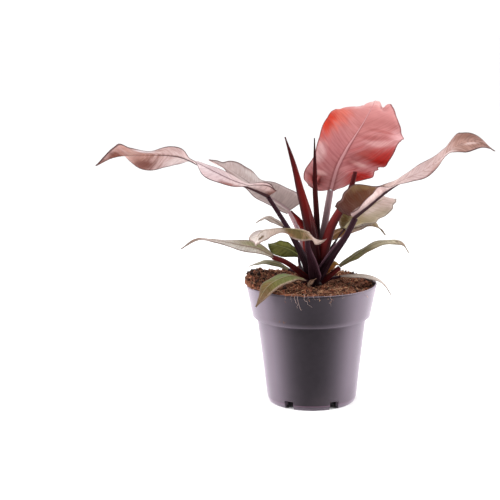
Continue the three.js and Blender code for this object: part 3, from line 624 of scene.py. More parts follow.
def spear_rings(spear):
    """Rings of a rolled leaf with its wound seam, and how strongly each place is painted as the lit side"""
    centres, side, face, share, a, wide, high = stem_rings(spear["line"], spear["radii"], 0, 1, SPEAR_STEPS)
    turn = ((np.degrees(a) - spear["seam_deg"] - 130 * share) % 360) / 360
    step = 0.9 + 0.17 * turn**1.5 * smoothstep(1.0, 0.94, turn)
    low, high_end = spear["bright"]
    # Painted light: the side that faces the given direction is tinted brighter red over the bright stretch,
    # as where light falls on and shines through the sheath
    bright = smoothstep(-0.2, 0.9, np.cos(a - math.radians(spear["lit_side_deg"])))
    bright = bright * smoothstep(low - 0.25, low, share) * smoothstep(high_end + 0.25, high_end, share)
    rings = centres[:, None] + side * (wide * step)[..., None] + face * (high * step)[..., None]
    return centres, rings, bright


# Materials

class Shading:
    """Short calls for the nodes of one material or group"""

    def __init__(self, tree):
        self.tree = tree

    def feed(self, socket, value):
        if isinstance(value, bpy.types.NodeSocket):
            self.tree.links.new(value, socket)
        else:
            socket.default_value = value

    def node(self, kind, feeds=None, **settings):
        """A node with its settings made, and its inputs fed by number or by name"""
        made = self.tree.nodes.new("ShaderNode" + kind)
        for key, value in settings.items():
            setattr(made, key, value)
        for key, value in (feeds or {}).items():
            self.feed(made.inputs[key], value)
        return made

    def math(self, operation, a, b=0.0, clamp=False):
        return self.node("Math", {0: a, 1: b}, operation=operation, use_clamp=clamp).outputs[0]

    def plus(self, a, b):
        return self.math("ADD", a, b)

    def minus(self, a, b):
        return self.math("SUBTRACT", a, b)

    def over(self, a, b):
        return self.math("DIVIDE", a, b)

    def times(self, value, *others):
        for other in others:
            value = self.math("MULTIPLY", value, other)
        return value

    def from_half(self, value):
        """How far a fraction is from the middle between two whole numbers"""
        return self.math("ABSOLUTE", self.minus(self.math("FRACT", value), 0.5))

    def between(self, value, low, high, to_low=0.0, to_high=1.0):
        feeds = dict(enumerate((value, low, high, to_low, to_high)))
        return self.node("MapRange", feeds, interpolation_type="SMOOTHSTEP").outputs[0]

    def band(self, value, rise, fall, top, rest):
        """A band that comes up over the rise, and goes from its top to what is left over the fall"""
        return self.times(self.between(value, *rise), self.between(value, *fall, top, rest))

    def mix(self, share, a, b, blend="MIX"):
        return self.node("Mix", {0: share, 6: a, 7: b}, data_type="RGBA", blend_type=blend).outputs[2]

    def tint(self, colour, tint, *shares):
        """A colour with a tint laid over it by the product of the shares"""
        return self.mix(self.times(*shares), colour, tint)

    def ramp(self, share, stops):
        made = self.node("ValToRGB", {0: share})
        made.color_ramp.interpolation = "EASE"
        for place, colour in stops[1:-1]:
            made.color_ramp.elements.new(place).color = colour
        ends = made.color_ramp.elements
        ends[0].position, ends[0].color = stops[0]
        ends[-1].position, ends[-1].color = stops[-1]
        return made.outputs[0]

    def noise(self, scale, detail=3.0, vector=None, rough=0.55):
        feeds = {"Scale": scale, "Detail": detail, "Roughness": rough, "Vector": vector or self.place()}
        return self.node("TexNoise", feeds).outputs["Fac"]

    def streaks(self, vector, stretch, scale=1.0, detail=3.0):
        """Noise drawn out into streaks by a stretch of its map"""
        drawn = self.node("Mapping", {"Vector": vector, "Scale": stretch}).outputs[0]
        return self.noise(scale, detail, drawn)

    def place(self):
        return self.node("TexCoord").outputs["Object"]

    def map(self, label):
        return self.node("UVMap", uv_map=label).outputs[0]

    def tone(self):
        return self.node("Attribute", attribute_name="tone").outputs["Fac"]

    def split(self, vector):
        return self.node("SeparateXYZ", {0: vector}).outputs

    def bump(self, height, strength, distance):
        feeds = {"Height": height, "Strength": strength, "Distance": distance}
        return self.node("Bump", feeds).outputs[0]

    def group(self, build, **values):
        """Places the node group that a function builds, made the first time that it is asked for"""
        name = build.__name__.capitalize()
        tree = bpy.data.node_groups.get(name) or build(name)
        feeds = {label.replace("_", " "): value for label, value in values.items()}
        return self.node("Group", feeds, node_tree=tree).outputs


class Skin(Shading):
    """A Principled material with its plain numbers set, and the calls for its nodes"""

    def __init__(self, name, **constants):
        self.material = bpy.data.materials.new(name)
        self.material.use_nodes = True
        super().__init__(self.material.node_tree)
        self.dress(**constants)

    def dress(self, **values):
        inputs = self.tree.nodes["Principled BSDF"].inputs
        for label, value in values.items():
            self.feed(inputs[label.replace("_", " ")], value)
        return self.material


def new_group(name, inputs, *outputs):
    """A shader node group with named sockets, and its inner sockets; an input of None is a vector"""
    tree = bpy.data.node_groups.new(name, "ShaderNodeTree")
    for label, value in inputs.items():
        kind = "NodeSocketVector" if value is None else "NodeSocketFloat"
        socket = tree.interface.new_socket(name=label, in_out="INPUT", socket_type=kind)
        if value is not None:
            socket.default_value = value
    for label in outputs:
        tree.interface.new_socket(name=label, in_out="OUTPUT", socket_type="NodeSocketFloat")
    given = tree.nodes.new("NodeGroupInput").outputs
    out = tree.nodes.new("NodeGroupOutput").inputs
    return tree, Shading(tree), given, out


def venation(name):
    """Side veins, finer veins between them, and their relief, from a blade's map"""
    tree, s, given, out = new_group(name, {"Grain": None, "Veins": 14.0}, "Vein", "Fine", "Silk", "Relief")
    t, v, _ = s.split(given["Grain"])
    drift = s.times(s.minus(s.noise(7.0, 2.0, given["Grain"]), 0.5), 0.035)
    shift = s.times(s.math("GREATER_THAN", v, 0.5), 0.7)
    rows = s.plus(s.times(s.plus(t, drift), given["Veins"]), shift)
    vein = s.between(s.from_half(rows), 0.4, 0.5)
    fine = s.between(s.from_half(s.times(rows, 5.0)), 0.15, 0.5)
    silk = s.between(s.streaks(given["Grain"], (70.0, 2.5, 1.0)), 0.35, 0.7)
    relief = s.plus(s.plus(s.times(vein, 0.2), s.times(fine, 0.15)), s.times(silk, 0.5))
    for label, value in (("Vein", vein), ("Fine", fine), ("Silk", silk), ("Relief", relief)):
        s.feed(out[label], value)
    return tree


def patch(name):
    """A soft spot with a ragged edge around one place of a blade's map"""
    inputs = {
        "Leaf map": None, "Grain": None, "Along": 0.5, "Across": 0.5,
        "Reach along": 0.1, "Reach across": 0.1,
    }
    tree, s, given, out = new_group(name, inputs, "Mask")
    t, v, _ = s.split(given["Leaf map"])
    ragged = s.times(s.minus(s.streaks(given["Grain"], (42.0, 5.0, 1.0)), 0.5), 1.1)
    a = s.over(s.minus(t, given["Along"]), given["Reach along"])
    b = s.over(s.minus(v, given["Across"]), given["Reach across"])
    apart = s.math("SQRT", s.plus(s.times(a, a), s.times(b, b)))
    s.feed(out["Mask"], s.between(s.plus(apart, ragged), 0.25, 1.25, 1.0, 0.0))
    return tree


def speckle(name):
    """Small flecks and a slow drift of tone over any surface, from its place in space"""
    tree, s, given, out = new_group(name, {"Scale": 400.0, "Amount": 0.3}, "Drift", "Flecks")
    place = s.place()
    slow = s.noise(s.times(given["Scale"], 0.12), 3.0, place, 0.5)
    quick = s.noise(given["Scale"], 2.0, place, 0.5)
    s.feed(out["Drift"], s.times(s.between(slow, 0.3, 0.7), given["Amount"]))
    s.feed(out["Flecks"], s.times(s.between(quick, 0.6, 0.72), given["Amount"]))
    return tree


def leaf_skin(name, veins, along, edge, rib, margin, vein, patches):
    """One face of a leaf: colour along it, edge, patches, side veins, rib with a painted shadow beside it,
    and margin line
    """
    s = Skin(name, IOR=1.2, Coat_Weight=0.06, Coat_Roughness=0.35)
    leaf_map, grain = s.map("leaf"), s.map("grain")
    t = s.split(leaf_map)[0]
    from_rib, from_edge, _ = s.split(s.map("reach"))
    lines = s.group(venation, Grain=grain, Veins=float(veins))
    spots = s.group(speckle, Scale=900.0, Amount=0.5)
    wander = s.plus(t, s.times(s.minus(lines["Silk"], 0.5), 0.08))
    colour = s.ramp(wander, [(place, seen(*tint)) for place, *tint in along])
    *edge_tint, edge_width, edge_share = edge
    colour = s.tint(colour, seen(*edge_tint), s.between(from_edge, 0.0, edge_width / 10, edge_share, 0.0))
    for *tint, place, across, reach, reach_across, share in patches:
        spot = s.group(
            patch, Leaf_map=leaf_map, Grain=grain, Along=place, Across=(across + 1) / 2,
            Reach_along=reach, Reach_across=reach_across / 2,
        )
        colour = s.tint(colour, seen(*tint), spot["Mask"], share)
    *vein_tint, vein_share = vein
    for part, weight in (("Vein", 0.7), ("Fine", 0.4), ("Silk", 0.6)):
        colour = s.tint(colour, seen(*vein_tint), lines[part], vein_share * weight)
    silk = s.ramp(lines["Silk"], [(0.0, (0.72, 0.7, 0.7, 1)), (1.0, (0.3, 0.28, 0.28, 1))])
    colour = s.mix(0.4, colour, silk, "SOFT_LIGHT")
    colour = s.tint(colour, seen(*vein_tint), spots["Drift"], 0.25)
    *rib_tint, rib_width, rib_length = rib
    apart = s.over(from_rib, s.between(t, 0.0, rib_length, rib_width / 10, 0.02))
    centre = s.math("SUBTRACT", 1.0, apart, clamp=True)
    fade = s.between(t, rib_length, 1.0, 1.0, 0.0)
    # Painted shadow: a dark band just outside the rib on both sides, as the raised rib would cast
    shade = s.band(apart, (0.6, 1.0), (1.1, 2.2), 0.45, 0.0)
    colour = s.tint(colour, seen(*(0.7 * c for c in vein_tint)), shade, fade)
    colour = s.tint(colour, seen(*rib_tint), s.between(centre, 0.0, 0.45), fade)
    *margin_tint, margin_share = margin
    colour = s.tint(colour, seen(*margin_tint), s.between(from_edge, 0.05, 0.14, margin_share, 0.0))
    return s.dress(
        Base_Color=colour, Roughness=s.between(spots["Drift"], 0.0, 0.5, 0.4, 0.52),
        Normal=s.bump(lines["Relief"], 0.28, 0.0005),
    )


def finish(along, edge, rib, margin, vein, *patches):
    """Finish of one face: stops of share and tint from base to tip; edge of tint, width and share; rib
    of tint, width and reach; margin line and veins of tint and share; patches of tint, place along,
    place across, reach along, reach across and share"""
    return {"along": along, "edge": edge, "rib": rib, "margin": margin, "vein": vein, "patches": patches}


# Finish of the leaves, as seen under the studio light: part colour, upper face, under face. On the red
# and pink leaves the pale lilac and pinkish-white tints are partly their own colour and partly painted
# sheen where a face turns up to the light, and the rust tints partly painted shade where it turns away
SKINS = {
    "red": ("red_leaf", finish(
        [(0, 178, 116, 116), (0.2, 182, 112, 114), (0.45, 190, 120, 118), (0.62, 216, 148, 146),
            (1, 232, 172, 166)],
        (220, 168, 168, 5, 0.35), (200, 142, 144, 1.9, 0.6), (112, 42, 44, 0.85), (150, 62, 60, 0.08),
        (214, 92, 68, 0.42, -0.85, 0.2, 0.5, 0.75), (196, 46, 16, 0.32, -0.93, 0.12, 0.26, 1.0),
        (168, 66, 58, 0.27, 0.62, 0.05, 0.5, 0.8), (160, 20, 8, 0.275, 0.85, 0.055, 0.36, 1.0),
        # Painted highlights: the pale spots (236, 200, 198), (216, 164, 166), (232, 188, 182) and (224,
        # 172, 170) are sheen painted where the blade catches the light
        (150, 20, 12, 0.12, 0.82, 0.068, 0.46, 1.0), (236, 200, 198, 0.165, -0.8, 0.06, 0.26, 0.5),
        (216, 164, 166, 0.4, 0.92, 0.06, 0.22, 0.8), (232, 188, 182, 0.2, 0.48, 0.016, 0.3, 0.5),
        # Painted shade: the dark rose stripes (146, 62, 58), (154, 70, 66) and (148, 66, 64) lie in the
        # pleats of the right half
        (224, 172, 170, 0.335, 0.6, 0.02, 0.4, 0.6), (146, 62, 58, 0.36, 0.4, 0.018, 0.4, 0.5),
        (154, 70, 66, 0.42, 0.45, 0.02, 0.35, 0.45), (148, 66, 64, 0.2, 0.3, 0.03, 0.25, 0.5),
        (238, 190, 186, 0.68, 0.1, 0.08, 0.4, 0.7), (170, 92, 90, 0.05, -0.45, 0.05, 0.3, 0.6),
        # Painted shade and highlights on the crumpled base: the dark lines (104, 28, 28) and (120, 34, 32)
        # lie in its folds, and the pale (226, 150, 146) and (230, 178, 174) on its raised folds
        (176, 70, 66, 0.05, -0.62, 0.04, 0.26, 0.8), (104, 28, 28, 0.045, -0.42, 0.03, 0.06, 0.9),
        (120, 34, 32, 0.05, -0.62, 0.035, 0.05, 0.7), (226, 150, 146, 0.045, -0.52, 0.03, 0.04, 0.6),
        (230, 178, 174, 0.085, -0.5, 0.012, 0.25, 0.75),
    ), finish(
        [(0, 176, 84, 78), (1, 190, 96, 84)],
        (200, 120, 110, 8, 0.4), (150, 60, 66, 2.2, 0.85), (112, 56, 56, 0.5), (150, 62, 58, 0.3),
    )),
    "copper": ("pink_leaf", finish(
        [(0, 220, 188, 184), (0.15, 214, 186, 184), (0.3, 204, 178, 180), (0.45, 200, 176, 178),
            (1, 196, 154, 146)],
        (226, 202, 202, 4, 0.3), (104, 66, 72, 1.6, 0.85), (78, 46, 48, 0.95), (180, 150, 152, 0.22),
        (128, 68, 58, 0.23, -1.0, 0.07, 0.5, 1.0), (226, 208, 210, 0.38, -0.2, 0.1, 0.5, 0.6),
        (176, 150, 156, 0.3, 0.2, 0.08, 0.5, 0.5),
    ), finish(
        [(0, 224, 190, 186), (0.1, 218, 190, 188), (0.5, 204, 176, 174), (0.6, 206, 172, 168),
            (0.72, 164, 116, 104), (0.8, 178, 134, 124), (0.88, 196, 158, 154), (1, 128, 92, 84)],
        (216, 184, 180, 3, 0.3), (56, 22, 28, 3.4, 0.85), (78, 44, 44, 0.95), (144, 100, 92, 0.22),
        (118, 66, 58, 0.0, -0.3, 0.035, 1.0, 0.9), (216, 204, 208, 0.68, -0.85, 0.07, 0.4, 0.9),
        (238, 216, 214, 0.53, 0.6, 0.06, 0.5, 0.9), (112, 60, 50, 0.7, 0.75, 0.07, 0.5, 1.0),
        (148, 98, 88, 0.62, -0.75, 0.03, 0.25, 0.7), (124, 68, 54, 0.88, -0.2, 0.06, 0.7, 1.0),
        (106, 60, 48, 0.98, 0, 0.05, 2, 0.8),
    )),
    "rose": ("pink_leaf", finish(
        # The dark brown stops at the base are partly the leaf's own colour and partly painted shade on the
        # inner face of the folded base
        [(0, 76, 32, 18), (0.12, 92, 48, 20), (0.2, 112, 72, 38), (0.27, 220, 194, 188),
            (0.45, 196, 170, 168), (0.62, 192, 162, 158), (0.75, 166, 126, 114), (1, 120, 80, 68)],
        (222, 190, 186, 3, 0.3), (168, 124, 122, 1.2, 0.6), (78, 46, 46, 0.95), (140, 104, 96, 0.2),
        (60, 26, 20, 0.0, -0.6, 0.03, 0.7, 1.0), (136, 110, 72, 0.15, -0.85, 0.06, 0.22, 0.7),
        # Painted highlights: the pale spots (238, 212, 202) and (232, 212, 206) on the folded base
        (238, 212, 202, 0.05, -0.14, 0.022, 0.14, 0.95), (232, 212, 206, 0.22, -0.35, 0.035, 0.3, 0.8),
        (240, 216, 214, 0.66, 0.5, 0.05, 0.5, 0.7), (146, 100, 88, 0.58, 0.7, 0.06, 0.3, 0.6),
        (128, 88, 76, 0.8, -0.75, 0.12, 0.35, 0.85), (96, 60, 50, 0.98, 0, 0.06, 2, 0.9),
        (222, 192, 186, 0.84, 0.3, 0.06, 0.2, 0.7), (126, 88, 86, 0.5, 1.0, 0.1, 0.25, 0.8),
    ), finish(
        [(0, 208, 176, 172), (0.1, 232, 206, 202), (0.3, 224, 192, 188), (0.6, 200, 160, 150),
            (1, 150, 104, 92)],
        (236, 214, 210, 4, 0.4), (52, 20, 28, 3.6, 0.85), (84, 52, 52, 0.85), (190, 150, 146, 0.2),
    )),
    "lilac": ("pink_leaf", finish(
        [(0, 150, 132, 128), (0.25, 164, 146, 142), (0.55, 190, 172, 168), (0.85, 206, 184, 180),
            (1, 220, 196, 194)],
        (222, 206, 204, 4, 0.4), (150, 120, 124, 1.4, 0.8), (96, 70, 70, 0.85), (140, 120, 118, 0.1),
        (140, 112, 108, 0.72, -0.7, 0.3, 0.4, 0.8), (230, 212, 210, 0.08, -0.15, 0.16, 0.2, 0.8),
        (226, 214, 210, 0.5, 0.8, 0.2, 0.4, 0.6), (116, 86, 80, 0.9, -0.6, 0.09, 0.8, 0.8),
        (170, 142, 138, 0.62, 0.95, 0.14, 0.14, 0.7),
    ), finish(
        [(0, 196, 176, 172), (1, 206, 166, 158)],
        (224, 200, 196, 5, 0.4), (70, 30, 36, 2.0, 0.6), (92, 66, 66, 0.7), (170, 142, 138, 0.4),
    )),
    "pale_olive": ("olive_leaf", finish(
        [(0, 104, 82, 34), (0.18, 160, 144, 108), (0.45, 196, 180, 162), (0.75, 216, 192, 186),
            (1, 232, 200, 198)],
        (232, 222, 212, 3, 0.5), (160, 148, 116, 1.4, 0.8), (112, 96, 84, 0.75), (140, 134, 100, 0.2),
        (66, 44, 10, 0.08, -0.55, 0.2, 0.6, 1.0), (226, 206, 200, 0.5, 0.25, 0.2, 0.2, 0.6),
        (150, 136, 110, 0.42, 0.8, 0.2, 0.25, 0.5),
    ), finish(
        [(0, 100, 84, 36), (0.5, 116, 102, 54), (1, 160, 130, 104)],
        (126, 116, 70, 4, 0.4), (84, 60, 36, 1.8, 0.6), (84, 68, 46, 0.6), (88, 80, 42, 0.5),
    )),
    "front_olive": ("olive_leaf", finish(
        [(0, 196, 172, 164), (0.1, 132, 102, 78), (0.18, 84, 66, 28), (0.36, 92, 68, 36),
            (0.56, 188, 166, 154), (0.8, 206, 190, 184), (1, 228, 216, 212)],
        (212, 190, 182, 2.5, 0.6), (146, 128, 98, 1.2, 0.8), (120, 92, 84, 0.7), (96, 88, 48, 0.35),
        (198, 172, 162, 0.26, 0.8, 0.3, 0.55, 0.95), (120, 78, 56, 0.36, -0.8, 0.12, 0.3, 0.8),
        (204, 180, 172, 0.02, -0.7, 0.09, 0.6, 0.85), (96, 62, 40, 0.84, -0.5, 0.075, 0.17, 0.95),
        (168, 156, 158, 0.78, 0.6, 0.12, 0.5, 0.6),
    ), finish(
        [(0, 196, 168, 156), (0.5, 160, 128, 106), (1, 124, 84, 56)],
        (214, 192, 184, 4, 0.5), (104, 60, 50, 1.6, 0.6), (104, 74, 62, 0.6), (136, 110, 86, 0.4),
    )),
    "olive": ("olive_leaf", finish(
        [(0, 136, 120, 92), (0.25, 178, 168, 146), (0.5, 206, 194, 186), (0.7, 200, 180, 174),
            (0.8, 140, 106, 94), (0.9, 92, 66, 60), (1, 66, 46, 42)],
        (214, 202, 194, 2.2, 0.5), (132, 96, 84, 1.0, 0.8), (104, 76, 68, 0.75), (128, 116, 86, 0.45),
        (214, 206, 200, 0.32, -0.6, 0.28, 0.55, 0.85), (112, 82, 66, 0.5, 0.9, 0.14, 0.2, 0.7),
        (146, 144, 96, 0.2, 0.45, 0.14, 0.4, 0.7), (78, 54, 50, 0.55, -1.0, 0.12, 0.25, 0.9),
        (72, 50, 46, 1.0, 0, 0.11, 2, 0.9),
    ), finish(
        [(0, 196, 178, 166), (0.5, 204, 184, 176), (1, 126, 84, 70)],
        (220, 202, 196, 3, 0.5), (104, 46, 44, 1.6, 0.7), (104, 72, 66, 0.7), (168, 150, 134, 0.4),
    )),
    "moss": ("green_leaf", finish(
        [(0, 136, 134, 82), (0.2, 126, 120, 70), (0.36, 102, 88, 50), (0.5, 176, 164, 132),
            (0.7, 202, 192, 166), (0.84, 150, 124, 108), (1, 92, 68, 60)],
        (212, 204, 180, 1.6, 0.5), (150, 132, 92, 1.0, 0.8), (100, 78, 60, 0.75), (96, 92, 54, 0.45),
    ), finish(
        [(0, 128, 124, 74), (0.5, 166, 156, 122), (1, 126, 88, 66)],
        (206, 194, 172, 2.5, 0.5), (130, 104, 70, 1.4, 0.7), (110, 76, 58, 0.6), (116, 110, 66, 0.4),
    )),
    "bronze": ("olive_leaf", finish(
        [(0, 100, 64, 30), (0.28, 126, 90, 48), (0.4, 188, 162, 146), (0.6, 206, 188, 178),
            (0.78, 138, 118, 82), (1, 100, 80, 54)],
        (214, 194, 180, 1.6, 0.5), (140, 104, 76, 1.1, 0.8), (96, 66, 46, 0.7), (104, 76, 40, 0.4),
    ), finish(
        [(0, 104, 70, 34), (0.5, 132, 104, 70), (1, 110, 90, 54)],
        (170, 140, 112, 2.5, 0.5), (96, 56, 38, 1.4, 0.7), (92, 60, 42, 0.6), (98, 70, 38, 0.4),
    )),
    "cream": ("pink_leaf", finish(
        [(0, 160, 142, 128), (0.35, 190, 176, 166), (0.7, 204, 190, 180), (1, 168, 146, 136)],
        (224, 212, 204, 1.6, 0.5), (146, 124, 112, 1, 0.8), (112, 92, 86, 0.65), (160, 144, 132, 0.4),
    ), finish(
        [(0, 170, 148, 132), (0.5, 200, 182, 166), (1, 150, 112, 88)],
        (216, 202, 190, 2, 0.5), (124, 94, 80, 1.2, 0.7), (112, 88, 76, 0.6), (164, 142, 124, 0.4),
    )),
    "bright_green": ("green_leaf", finish(
        [(0, 70, 68, 22), (0.5, 88, 86, 28), (1, 80, 80, 34)],
        (64, 66, 34, 2, 0.6), (112, 114, 60, 1, 0.8), (76, 74, 44, 0.6), (66, 70, 26, 0.4),
        # Painted highlight: the paler green spot (124, 126, 62) near the top middle
        (124, 126, 62, 0.5, 0.55, 0.25, 0.3, 0.7), (112, 112, 66, 0.85, 0.0, 0.12, 0.5, 0.6),
    ), finish(
        [(0, 100, 102, 56), (1, 112, 114, 66)],
        (130, 130, 84, 2, 0.4), (112, 112, 68, 1.2, 0.7), (88, 84, 58, 0.6), (84, 88, 46, 0.4),
    )),
    "drooping": ("green_leaf", finish(
        [(0, 140, 128, 104), (0.3, 118, 124, 74), (0.5, 118, 116, 64), (0.75, 98, 68, 38),
            (0.9, 116, 74, 52), (1, 64, 40, 34)],
        (176, 150, 128, 1.5, 0.5), (150, 138, 104, 1.2, 0.75), (96, 72, 56, 0.7), (92, 92, 50, 0.4),
        (196, 168, 150, 0.45, -0.95, 0.5, 0.22, 0.95), (132, 150, 96, 0.32, 0.5, 0.16, 0.4, 0.7),
        (132, 92, 48, 0.62, 0.3, 0.1, 0.5, 0.6), (92, 62, 38, 0.97, 0, 0.14, 2, 0.85),
    ), finish(
        [(0, 146, 132, 110), (0.6, 150, 130, 102), (1, 104, 62, 48)],
        (180, 152, 126, 2.5, 0.5), (124, 96, 70, 1.4, 0.7), (140, 106, 90, 0.6), (112, 102, 70, 0.4),
    )),
    "dry": ("dry", finish(
        [(0, 112, 80, 66), (0.5, 150, 116, 94), (1, 176, 144, 120)],
        (190, 162, 138, 2, 0.5), (112, 80, 62, 0.9, 0.8), (90, 60, 48, 0.6), (112, 80, 62, 0.4),
    ), finish(
        [(0, 110, 78, 64), (1, 166, 134, 110)],
        (186, 158, 134, 2, 0.5), (108, 76, 60, 0.9, 0.8), (90, 60, 48, 0.6), (108, 76, 60, 0.4),
    )),
    "amber": ("dry", finish(
        [(0, 110, 58, 34), (0.35, 158, 98, 34), (0.7, 126, 104, 42), (1, 104, 90, 44)],
        (150, 86, 40, 2, 0.5), (140, 78, 36, 0.9, 0.8), (96, 56, 32, 0.6), (150, 88, 32, 0.5),
    ), finish(
        [(0, 116, 62, 34), (0.5, 190, 124, 38), (1, 120, 90, 42)],
        (150, 86, 40, 2, 0.5), (132, 74, 34, 0.9, 0.8), (96, 56, 32, 0.6), (140, 84, 32, 0.5),
    )),
}
SKINS["grey_moss"] = ("green_leaf", {**SKINS["moss"][1], "along": [
    (0, 128, 126, 80), (0.2, 104, 104, 66), (0.36, 92, 86, 54), (0.5, 126, 122, 96), (0.7, 150, 144, 122),
    (0.84, 110, 96, 84), (1, 84, 64, 58),
]}, SKINS["moss"][2])


def stem_skin(name, low, high, bright):
    """Waxy skin of a stalk or sheath: colour up its length, a paler side that is the sheath wings of a
    stalk and a painted lit side on a rolled leaf, long fine streaks and flecks
    """
    s = Skin(name, IOR=1.08, Coat_Weight=0.05, Coat_Roughness=0.12)
    tube = s.map("tube")
    streaks = s.between(s.streaks(tube, (1.2, 14.0, 1.0), 2.2, 4.0), 0.42, 0.72)
    spots = s.group(speckle, Scale=1400.0, Amount=0.5)
    colour = s.ramp(s.split(tube)[0], [(0.0, seen(*low)), (1.0, seen(*high))])
    for mask, share in ((s.tone(), 0.9), (streaks, 0.22), (spots["Flecks"], 0.3)):
        colour = s.tint(colour, seen(*bright), mask, share)
    return s.dress(
        Base_Color=colour, Roughness=s.between(spots["Drift"], 0.0, 0.5, 0.3, 0.42),
        Normal=s.bump(streaks, 0.25, 0.0003),
    )


# Waxy stems: part colour, colour at the foot, colour at the top, and the tint of the paler side, which is
# the stalks' pale sheath wings and, on the rolled leaves and sheaths, their painted lit side
STEM_SKINS = {
    "stalk": ("stalk", (22, 8, 12), (42, 16, 26), (118, 84, 96)),
    "pale_stalk": ("stalk", (60, 26, 34), (160, 128, 132), (196, 168, 172)),
    "mauve_stalk": ("stalk", (48, 20, 28), (152, 122, 126), (172, 148, 152)),
    "sheath": ("sheath", (46, 12, 16), (88, 28, 28), (128, 48, 46)),
    "spear": ("sheath", (38, 11, 14), (64, 20, 24), (110, 24, 22)),
    "dark_spear": ("sheath", (30, 9, 12), (40, 13, 17), (68, 17, 18)),
    "rose_spear": ("sheath", (38, 11, 15), (74, 22, 25), (122, 42, 42)),
    "crown": ("stalk", (24, 9, 12), (26, 12, 15), (66, 38, 46)),
}


def pot_plastic(plastic):
    """Dark moulded plastic with a fine grain, dust, dried splashes and dirt low on the collar, which
    lie at heights and widths in metres, a painted sheen that pales it where it turns away from the
    view, and a painted highlight along the step of the foot"""
    s = Skin("pot_plastic", IOR=1.18, Sheen_Weight=1.0, Sheen_Roughness=0.38)
    s.dress(Sheen_Tint=(0.86, 0.76, 0.88, 1))
    spots = s.group(speckle, Scale=1500.0, Amount=1.0)
    dust = s.group(speckle, Scale=300.0, Amount=1.0)
    x, _, z = s.split(s.place())
    # Painted sheen: the plastic is tinted paler lavender-grey where its surface turns away from the view,
    # as the white room would shine off it
    painted_sheen = s.node("LayerWeight", {"Blend": 0.5}).outputs["Facing"]
    ledge = s.band(z, (0.0795, 0.0815), (0.083, 0.09), 0.9, 0.05)
    smear = s.band(x, (-0.044, -0.036), (-0.028, -0.02), 1.0, 0.06)
    # Painted highlight: a pale line along the step just above the foot ring, where its edge catches the
    # light
    foot = s.band(z, (0.0036, 0.004), (0.0042, 0.0046), 0.6, 0.0)
    colour = s.tint(plastic, srgb(44, 38, 44), spots["Drift"], 0.12)
    colour = s.tint(colour, srgb(96, 86, 96), s.between(painted_sheen, 0.03, 0.45))
    colour = s.tint(colour, srgb(70, 62, 66), s.between(z, 0.004, 0.03, 0.3, 0.0), dust["Drift"])
    colour = s.tint(colour, srgb(84, 60, 48), dust["Flecks"], ledge, smear)
    # Painted highlight along the step of the foot
    colour = s.tint(colour, srgb(120, 88, 108), foot)
    return s.dress(
        Base_Color=colour, Roughness=s.between(dust["Drift"], 0.0, 1.0, 0.34, 0.42),
        Normal=s.bump(s.noise(3500.0, 2.0), 0.12, 0.0002),
    )


def soil_skin(name, dark, light, pale, share):
    """Coir and peat: red-brown grains of mixed tone, paler where a fibre or chip shows"""
    s = Skin(name, Roughness=0.92, IOR=1.35)
    spots = s.group(speckle, Scale=1100.0, Amount=1.0)
    colour = s.mix(s.tone(), dark, light)
    colour = s.tint(colour, pale, spots["Flecks"], share)
    colour = s.tint(colour, dark, spots["Drift"], 0.35)
    return s.dress(Base_Color=colour, Normal=s.bump(s.noise(1600.0, 3.0), 0.6, 0.0006))


# Soil surface, as in its solid

def heap(angle, middle_deg, spread_deg):
    apart = np.abs((np.degrees(angle) - middle_deg + 540) % 360 - 180)
    return np.where(apart < spread_deg, 0.5 + 0.5 * np.cos(apart / spread_deg * math.pi), 0)


def soil_height(x, y):
    """Height of the soil's top in millimetres: near the rim, heaped up at the left and the back"""
    angle, out = np.arctan2(y, x), np.hypot(x, y) / RIM_RADIUS
    left = heap(angle, 165, 75) * 9 * smoothstep(0.35, 0.85, out)
    back = heap(angle, 75, 60) * 6 * out
    hollow = heap(angle, -5, 45) * 3 * smoothstep(0.3, 0.8, out)
    middle = 3 * (1 - smoothstep(0, 0.45, out))
    waves = (
        0.9 * np.sin(0.31 * x + 1.3) * np.cos(0.27 * y + 0.4)
        + 0.8 * np.sin(0.55 * y - 0.21 * x) + 0.6 * np.cos(0.83 * x + 0.35 * y + 2)
    )
    return SOIL_LEVEL + left + back - hollow + middle + waves


def spill(angle):
    """How far the soil comes over the rim, from 0 to 1, at the left and a little at the front"""
    return np.minimum(1, heap(angle, 172, 62) + 0.6 * heap(angle, -108, 26))


def soil_radius(z):
    """Radius of the soil inside the collar at a height in millimetres"""
    foot = COLLAR_FOOT_Z + WALL + 1
    share = (z - foot) / (POT_HEIGHT - foot)
    return COLLAR_FOOT_RADIUS - WALL + share * (RIM_RADIUS - COLLAR_FOOT_RADIUS) - SOIL_GAP


def lumpy(points, scale, height, seed):
    """Fractal noise in millimetres at points in millimetres"""
    shift = Vector((seed * 17.3, seed * 5.1, seed * 9.7))
    values = [noise.fractal(Vector(p) * scale + shift, 0.8, 2.1, 4) for p in points]
    return np.array(values) * height


# Properties and operators

def colour_property(name, description, default):
    return bpy.props.FloatVectorProperty(
        name=name, description=description, subtype="COLOR", size=4, min=0, max=1, default=default,
    )


def count_property(name, description, default, low, high):
    return bpy.props.IntProperty(name=name, description=description, default=default, min=low, max=high)


def length_property(name, description, default_mm):
    return bpy.props.FloatProperty(
        name=name, description=description, subtype="DISTANCE", unit="LENGTH",
        default=default_mm * MM, min=default_mm * MM / 4, max=default_mm * MM * 4,
    )


def in_mm(length):
    return round(length / MM, 4)


class PlantLooks(bpy.types.PropertyGroup):
    """Colours that a user may change"""

    pot: colour_property("Pot", "Colour of the moulded plastic", srgb(18, 13, 18))
    soil: colour_property("Soil", "Colour of the lighter grains of the potting mix", srgb(138, 82, 56))
    floor: colour_property("Floor", "Colour of the studio floor", (0.94, 0.94, 0.94, 1))


